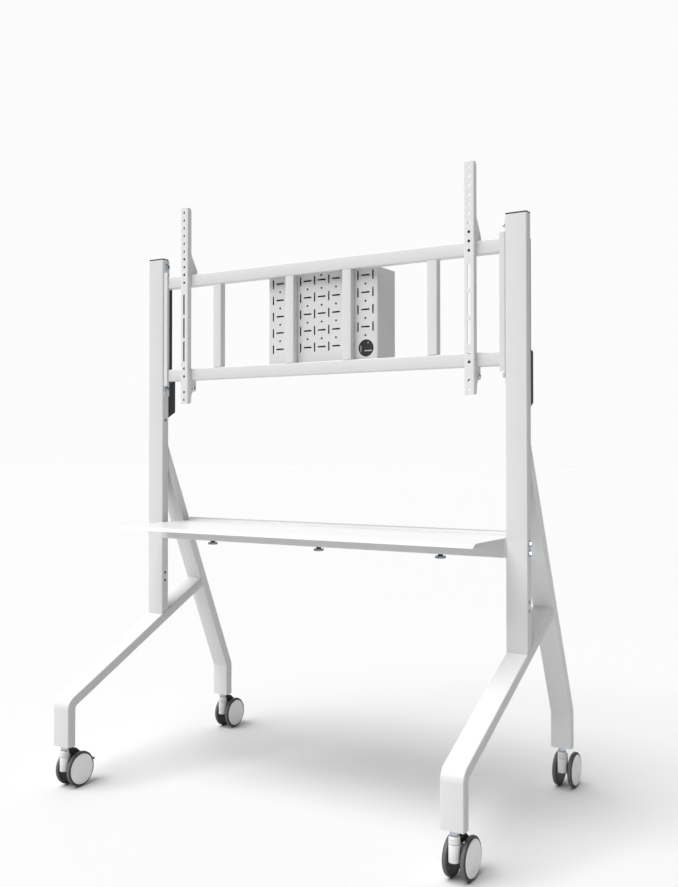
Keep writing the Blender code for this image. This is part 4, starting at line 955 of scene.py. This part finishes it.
def tray_shape():
    """Folded sheet with a sloping nose, downturned sides and an upturned rear lip."""
    low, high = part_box("shelf_tray")
    bar_low, bar_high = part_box("shelf_crossbar")
    sheet = 0.002
    lip_height = 0.0095
    skirt = 0.011
    top = high.z - lip_height
    under = top - skirt
    slope_end = (low.y + 0.013, top - 0.002)
    flat_start = low.y + 0.024
    outline = [(low.y, under), slope_end, (flat_start, top), (high.y, top), (high.y, under)]
    shape = slab(outline, "X", low.x, high.x, {1: 0.002, 2: 0.004}, 4)
    folds = [edge for edge in shape.edges if crossways(edge, "X")
             and min(vert.co.z for vert in edge.verts) > top - 0.003]
    bevel(shape, folds, sizes().fold_radius, 4)
    inner = low.y + 1.5 * sheet
    inside = [(inner, under - sheet), (inner, under),
              (slope_end[0] + sheet / 2, slope_end[1] - sheet), (flat_start, top - sheet),
              (high.y + sheet, top - sheet), (high.y + sheet, under - sheet)]
    hollow = slab(inside, "X", low.x + sheet, high.x - sheet, {2: 0.002, 3: 0.004}, 4)
    notch = bar((low.x - PAST, bar_low.y - GAP, bar_low.z),
                (high.x + PAST, bar_high.y + GAP, bar_high.z + GAP), "X", 0.0)
    shape = boolean(boolean(shape, hollow), notch)
    root = high.y - 0.015
    lip = slab([(root, top - sheet), (high.y, top - sheet), (high.y, high.z), (high.y - sheet, high.z),
                (high.y - sheet, top), (root, top)], "X", low.x, high.x,
               {2: 0.0007, 3: 0.0007, 4: 0.007})
    return boolean(shape, lip, operation="UNION")


def crossbar_shape():
    """Rounded tube with a plate welded into each end."""
    low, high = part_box("shelf_crossbar")
    inset = 0.0006
    tube = bar((low.x + PLATE, low.y, low.z), (high.x - PLATE, high.y, high.z), "X",
               sizes().rail_corner, 4, inset)
    ends = [bar((start, low.y + inset, low.z + inset),
                (start + PLATE, high.y - inset, high.z - inset), "X", 0.002, 3)
            for start in (low.x, high.x - PLATE)]
    return joined(tube, *ends)


def knurled(radius, start, end, across, ridges):
    """Disc about Z with ridges round its side and both rims rounded."""
    gear = cylinder(radius, "Z", start, end, across, 2 * ridges)
    for vert in gear.verts:
        offset = vert.co.xy - Vector(across)
        if round(math.atan2(offset.y, offset.x) * ridges / math.pi) % 2:
            vert.co.xy -= offset * 0.05
    tall = end - start
    barrel = turned([(0.0, 0.0), (radius, 0.0), (radius, tall), (0.0, tall)], "Z", (*across, start),
                    2 * ridges, 0.0008)
    return boolean(gear, barrel, operation="INTERSECT")


def knob_shapes(node):
    """Knurled disc and its thread, and the collar above it."""
    low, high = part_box(node)
    at = centre(node)[:2]
    bar_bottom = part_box("shelf_crossbar")[0].z
    top = bar_bottom - 0.0052
    disc = knurled(0.015, low.z, top, at, sizes().knurls)
    dish = turned([(0.0, -PAST), (0.009, -PAST), (0.009, 0.0006), (0.0, 0.0012)], "Z",
                  (*at, low.z), 40)
    thread = cylinder(0.0029, "Z", bar_bottom - 0.006, high.z, at, 20)
    collar = turned([(0.0031, 0.0), (0.0074, 0.0), (0.0064, 0.0049), (0.0031, 0.0049)], "Z",
                    (*at, top), 32, 0.0004)
    return joined(boolean(disc, dish), thread), collar


class CART_OT_shelf(bpy.types.Operator):
    """Crossbar, folded tray and the thumbscrews under it"""
    bl_idname = "cart.shelf"
    bl_label = "Shelf"

    def execute(self, context):
        piece("shelf_crossbar_tube", crossbar_shape(), "powder_coat", "shelf", "shelf_crossbar")
        piece("shelf_tray_sheet", tray_shape(), "tray_coat", "shelf", "shelf_tray")
        for number in range(1, 4):
            node = "tray_knob_%d" % number
            disc, collar = knob_shapes(node)
            piece(node + "_disc", disc, "dark_steel", node, node)
            piece(node + "_collar", collar, "black_plastic", node)
        return {"FINISHED"}


# Casters

def stem_shape(name):
    """Hexagonal nut on its washer, over the stem's thread."""
    node = "caster_stem_" + name
    low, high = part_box(node)
    end, side = name.split("_")
    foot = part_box("%s_%s_leg" % (side, end))[0].z
    at = centre(node)[:2]
    start = foot - 0.0130
    washer_top = start + 0.0019
    washer = cylinder(0.0112, "Z", start, washer_top, at, 48, 0.0004)
    nut = hexagon(0.0109, "Z", washer_top, foot - 0.0004, at)
    stem = cylinder(0.005, "Z", low.z, high.z, at, 24)
    return joined(washer, nut, stem)


def caster_body_shape(name):
    """Turned swivel housing, arm to the axle's boss, shoulder, and the web that carries the pedal."""
    x, y, _ = centre("caster_stem_" + name)
    _, axle, wheel = centre("wheel_%s_outer" % name)
    root = y + 0.004    # inside the pillar; the heights below are above the floor
    radius = 0.0134
    groove = 0.0112
    seam = 0.0128
    profile = [(0.0, 0.052), (radius, 0.052), (radius, 0.0918), (groove, 0.0922), (groove, 0.0938),
               (radius, 0.0942), (radius, 0.1002), (seam, 0.1004), (seam, 0.1010),
               (radius, 0.1012), (radius, 0.1075), (0.0118, 0.111), (0.0, 0.111)]
    pillar = turned(profile, "Z", (x, y, 0.0), 48, 0.0003)
    arm = slab([(root, 0.0567), (axle - 0.007, wheel - 0.014), (axle + 0.013, wheel - 0.012),
                (axle + 0.014, wheel + 0.006), (axle + 0.007, wheel + 0.0125), (root, 0.083)],
               "X", x - 0.011, x + 0.011, {1: 0.006, 2: 0.008, 3: 0.005, 4: 0.004})
    web = slab([(root, 0.060), (axle, 0.060), (y + 0.0365, 0.0925), (y + 0.034, 0.0995),
                (y + 0.026, 0.0995), (root, 0.0975)], "X", x - 0.0044, x + 0.0044,
               {2: 0.003, 3: 0.003, 4: 0.003})
    shoulder = slab([(root, 0.067), (y + 0.0135, 0.067), (y + 0.0135, 0.100), (root, 0.100)],
                    "X", x - 0.010, x + 0.010, {2: 0.0035})
    return joined(pillar, rounded(arm, 0.0024), rounded(shoulder, 0.0016), rounded(web, 0.0008, 2))


def pedal_shape(name):
    """Hood over the web, hinge pin, and the tongue behind the wheels."""
    node = "brake_pedal_" + name
    low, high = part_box(node)
    x = centre(node)[0]
    y = centre("caster_stem_" + name)[1] + 0.031    # of the hinge
    z = 0.094
    tongue = high.y - 0.010
    outline = [(y - 0.0165, z + 0.0075), (y - 0.0135, z + 0.0165), (y - 0.006, z + 0.019),
               (y + 0.001, z + 0.019), (y + 0.0085, z + 0.0155), (y + 0.017, z + 0.0076),
               (tongue, low.z + 0.0045), (high.y, low.z + 0.0055), (high.y, low.z + 0.0006),
               (tongue, low.z), (y + 0.027, z - 0.0135), (y + 0.013, z - 0.0066),
               (y - 0.005, z - 0.0052), (y - 0.0115, z + 0.002)]
    rounding = {0: 0.003, 1: 0.004, 2: 0.003, 3: 0.003, 4: 0.004, 5: 0.004, 7: 0.002, 8: 0.002,
                10: 0.004, 11: 0.004, 12: 0.003, 13: 0.003}
    hood = rounded(slab(outline, "X", low.x, high.x, rounding, 4), 0.0026, 4)
    below = 0.03
    space = slab([(y - below, z - below), (y + 0.017, z - below), (y + 0.017, z),
                  (y + 0.0077, z + 0.0066), (y - below, z + 0.0066)], "X", x - 0.0051, x + 0.0051)
    pin = cylinder(0.002, "X", low.x + 0.001, high.x - 0.001, (y, z), 16)
    return joined(boolean(hood, space), pin)


def wheel_parts(node, middle):
    """Tyre, hub and cover of one wheel, with the cover on the caster's outer side."""
    low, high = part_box(node)
    x, y, _ = centre(node)
    radius = 0.0508
    deep = 0.0125
    seat = 0.0418       # radius where the tyre sits on the hub
    tyre = [(seat, 0.0004), (radius - 0.0032, 0.0), (radius - 0.0006, 0.0024), (radius, deep / 2),
            (radius - 0.0006, deep - 0.0024), (radius - 0.0032, deep), (seat, deep - 0.0002)]
    hub = [(0.0039, 0.0), (0.0105, 0.0), (0.0112, 0.0012), (0.0388, 0.0012), (0.0395, 0.0003),
           (0.0420, 0.0003), (0.0420, deep - 0.0006), (0.0039, 0.0088)]
    cover = [(0.0, 0.0095), (0.0425, deep - 0.0008), (0.0434, deep), (0.0434, deep + 0.0007),
             (0.0429, deep + 0.0012), (0.0413, deep + 0.0012), (0.0405, deep - 0.0006),
             (0.0395, deep - 0.0006), (0.0389, deep + 0.0004), (0.036, deep + 0.0006),
             (0.024, deep + 0.0009), (0.012, deep + 0.0011), (0.0, deep + 0.0012)]
    made = [turned(profile, "X", (0.0, y, radius), sizes().wheel_steps, rounding)
            for profile, rounding in ((tyre, 0.0004), (hub, 0.0), (cover, 0.0))]
    # Tread faces get the lighter copy of the rubber, a painted light; the sidewalls keep the darker
    # copy, a painted shade
    lined(made[0], lambda at, normal: abs(normal.x) < 0.55)
    side = 1 if x > middle else -1
    face = middle + side * min(abs(low.x - middle), abs(high.x - middle))
    return [sided(shape, side, face) for shape in made]


class CART_OT_casters(bpy.types.Operator):
    """Twin-wheel casters with their stems, brake pedals, axles and wheels"""
    bl_idname = "cart.casters"
    bl_label = "Casters"

    def execute(self, context):
        for name in CASTERS:
            body = "caster_" + name
            stem = "caster_stem_" + name
            piece(stem + "_nut", stem_shape(name), "zinc_plate", "base", stem)
            node = "caster_body_" + name
            piece(node + "_housing", caster_body_shape(name), "white_plastic", body, node)
            wheels = ["wheel_%s_%s" % (name, label) for label in ("outer", "inner")]
            inset = 0.0055
            start = min(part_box(wheel)[0].x for wheel in wheels) + inset
            end = max(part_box(wheel)[1].x for wheel in wheels) - inset
            axle = cylinder(0.0037, "X", start, end, centre(wheels[0])[1:], 24, 0.0004)
            piece("caster_%s_axle" % name, axle, "zinc_plate", body)
            pedal = "brake_pedal_" + name
            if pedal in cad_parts:
                piece(pedal + "_hood", pedal_shape(name), "black_plastic", "brake_" + name, pedal)
            for wheel in wheels:
                tyre, hub, cover = wheel_parts(wheel, centre(stem)[0])
                piece(wheel + "_tyre", tyre, "tyre_side tyre_tread", wheel, wheel)
                piece(wheel + "_hub", hub, "hub_plastic", wheel)
                piece(wheel + "_cover", cover, "disc_plastic", wheel)
        return {"FINISHED"}


# Stage

def add_floor():
    """Plain floor that runs on to the horizon."""
    shape = bmesh.new()
    bmesh.ops.create_grid(shape, x_segments=1, y_segments=1, size=60.0)
    floor = linked("floor", as_mesh("floor", shape))
    paint = Paint("studio_floor", 0.7)
    paint.set("Base Color", (*finish().floor, 1.0))
    floor.data.materials.append(paint.material)


def add_walls(scene):
    """Studio walls: they light the cart from behind and above, dimmer from its right and from in
    front, and look equally pale from every side."""
    brightest = (-0.74, 0.6, 0.3)
    levels = {"From Min": 0.05, "From Max": 0.84, "To Min": 0.16, "To Max": 0.93}
    seen = 0.97
    scene.world = bpy.data.worlds.new("studio")
    studio = Shader(scene.world, "Background")
    view = studio.node("ShaderNodeTexCoord", {}, {}, "Generated")
    towards = studio.node("ShaderNodeVectorMath", {"operation": "DOT_PRODUCT"},
                          {0: view, 1: brightest}, "Value")
    light = studio.node("ShaderNodeMapRange", {"interpolation_type": "SMOOTHSTEP"},
                        {"Value": towards, **levels})
    camera = studio.node("ShaderNodeLightPath", {}, {}, "Is Camera Ray")
    studio.set("Color", studio.node("ShaderNodeMix", {}, {0: camera, 2: light, 3: seen}))


def add_sun():
    """Wide soft key light, high on the left of the camera."""
    light = bpy.data.lights.new("key_light", "SUN")
    light.energy = 4.4
    light.angle = math.radians(50.0)
    towards = Vector((-0.18, -0.43, 0.88))
    linked("key_light", light).rotation_euler = towards.to_track_quat("Z", "Y").to_euler()


def add_camera(scene):
    """The photograph's camera, placed from the columns' front face; its lens is in pixels."""
    focal = 998.8
    picture = 887.0
    shift = (2.6, -7.13)
    right, ahead, up = 1.5846, 2.4775, 0.9829
    pitch, roll, yaw = 0.0154, 0.0002, 0.5486
    lens = bpy.data.cameras.new("camera")
    lens.sensor_width = 36.0
    lens.sensor_fit = "AUTO"
    lens.lens = focal / picture * lens.sensor_width
    lens.shift_x = shift[0] / picture
    lens.shift_y = shift[1] / picture
    lens.clip_end = 200.0
    scene.camera = linked("camera", lens)
    scene.camera.location = (right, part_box("left_column")[0].y - ahead, up)
    scene.camera.rotation_euler = (math.pi / 2 + pitch, roll, yaw)


class CART_OT_stage(bpy.types.Operator):
    """Floor, soft light and camera"""
    bl_idname = "cart.stage"
    bl_label = "Stage"

    def execute(self, context):
        scene = context.scene
        scene.view_settings.view_transform = "Standard"
        add_floor()
        add_walls(scene)
        add_sun()
        add_camera(scene)
        return {"FINISHED"}


class CART_PT_sidebar(bpy.types.Panel):
    """Lists the cart's steps, sizes and colours"""
    bl_idname = "CART_PT_sidebar"
    bl_label = "Rolling screen cart"
    bl_space_type = "VIEW_3D"
    bl_region_type = "UI"
    bl_category = "Cart"

    def draw(self, context):
        layout = self.layout
        for operator in OPERATORS:
            layout.operator(operator.bl_idname)
        for group in (context.scene.cart_sizes, context.scene.cart_finish):
            box = layout.box()
            for name in group.__annotations__:
                box.prop(group, name)


OPERATORS = (CART_OT_columns, CART_OT_legs, CART_OT_screen_frame, CART_OT_screen_brackets,
             CART_OT_media_box, CART_OT_shelf, CART_OT_casters, CART_OT_stage)
CLASSES = (CartSizes, CartFinish) + OPERATORS + (CART_PT_sidebar,)


def register():
    for item in CLASSES:
        bpy.utils.register_class(item)
    bpy.types.Scene.cart_sizes = PointerProperty(type=CartSizes)
    bpy.types.Scene.cart_finish = PointerProperty(type=CartFinish)


def unregister():
    del bpy.types.Scene.cart_finish
    del bpy.types.Scene.cart_sizes
    for item in reversed(CLASSES):
        bpy.utils.unregister_class(item)


def main():
    register()
    bpy.ops.cart.columns()
    bpy.ops.cart.legs()
    bpy.ops.cart.screen_frame()
    bpy.ops.cart.screen_brackets()
    bpy.ops.cart.media_box()
    bpy.ops.cart.shelf()
    bpy.ops.cart.casters()
    bpy.ops.cart.stage()


if __name__ == "__main__":
    main()
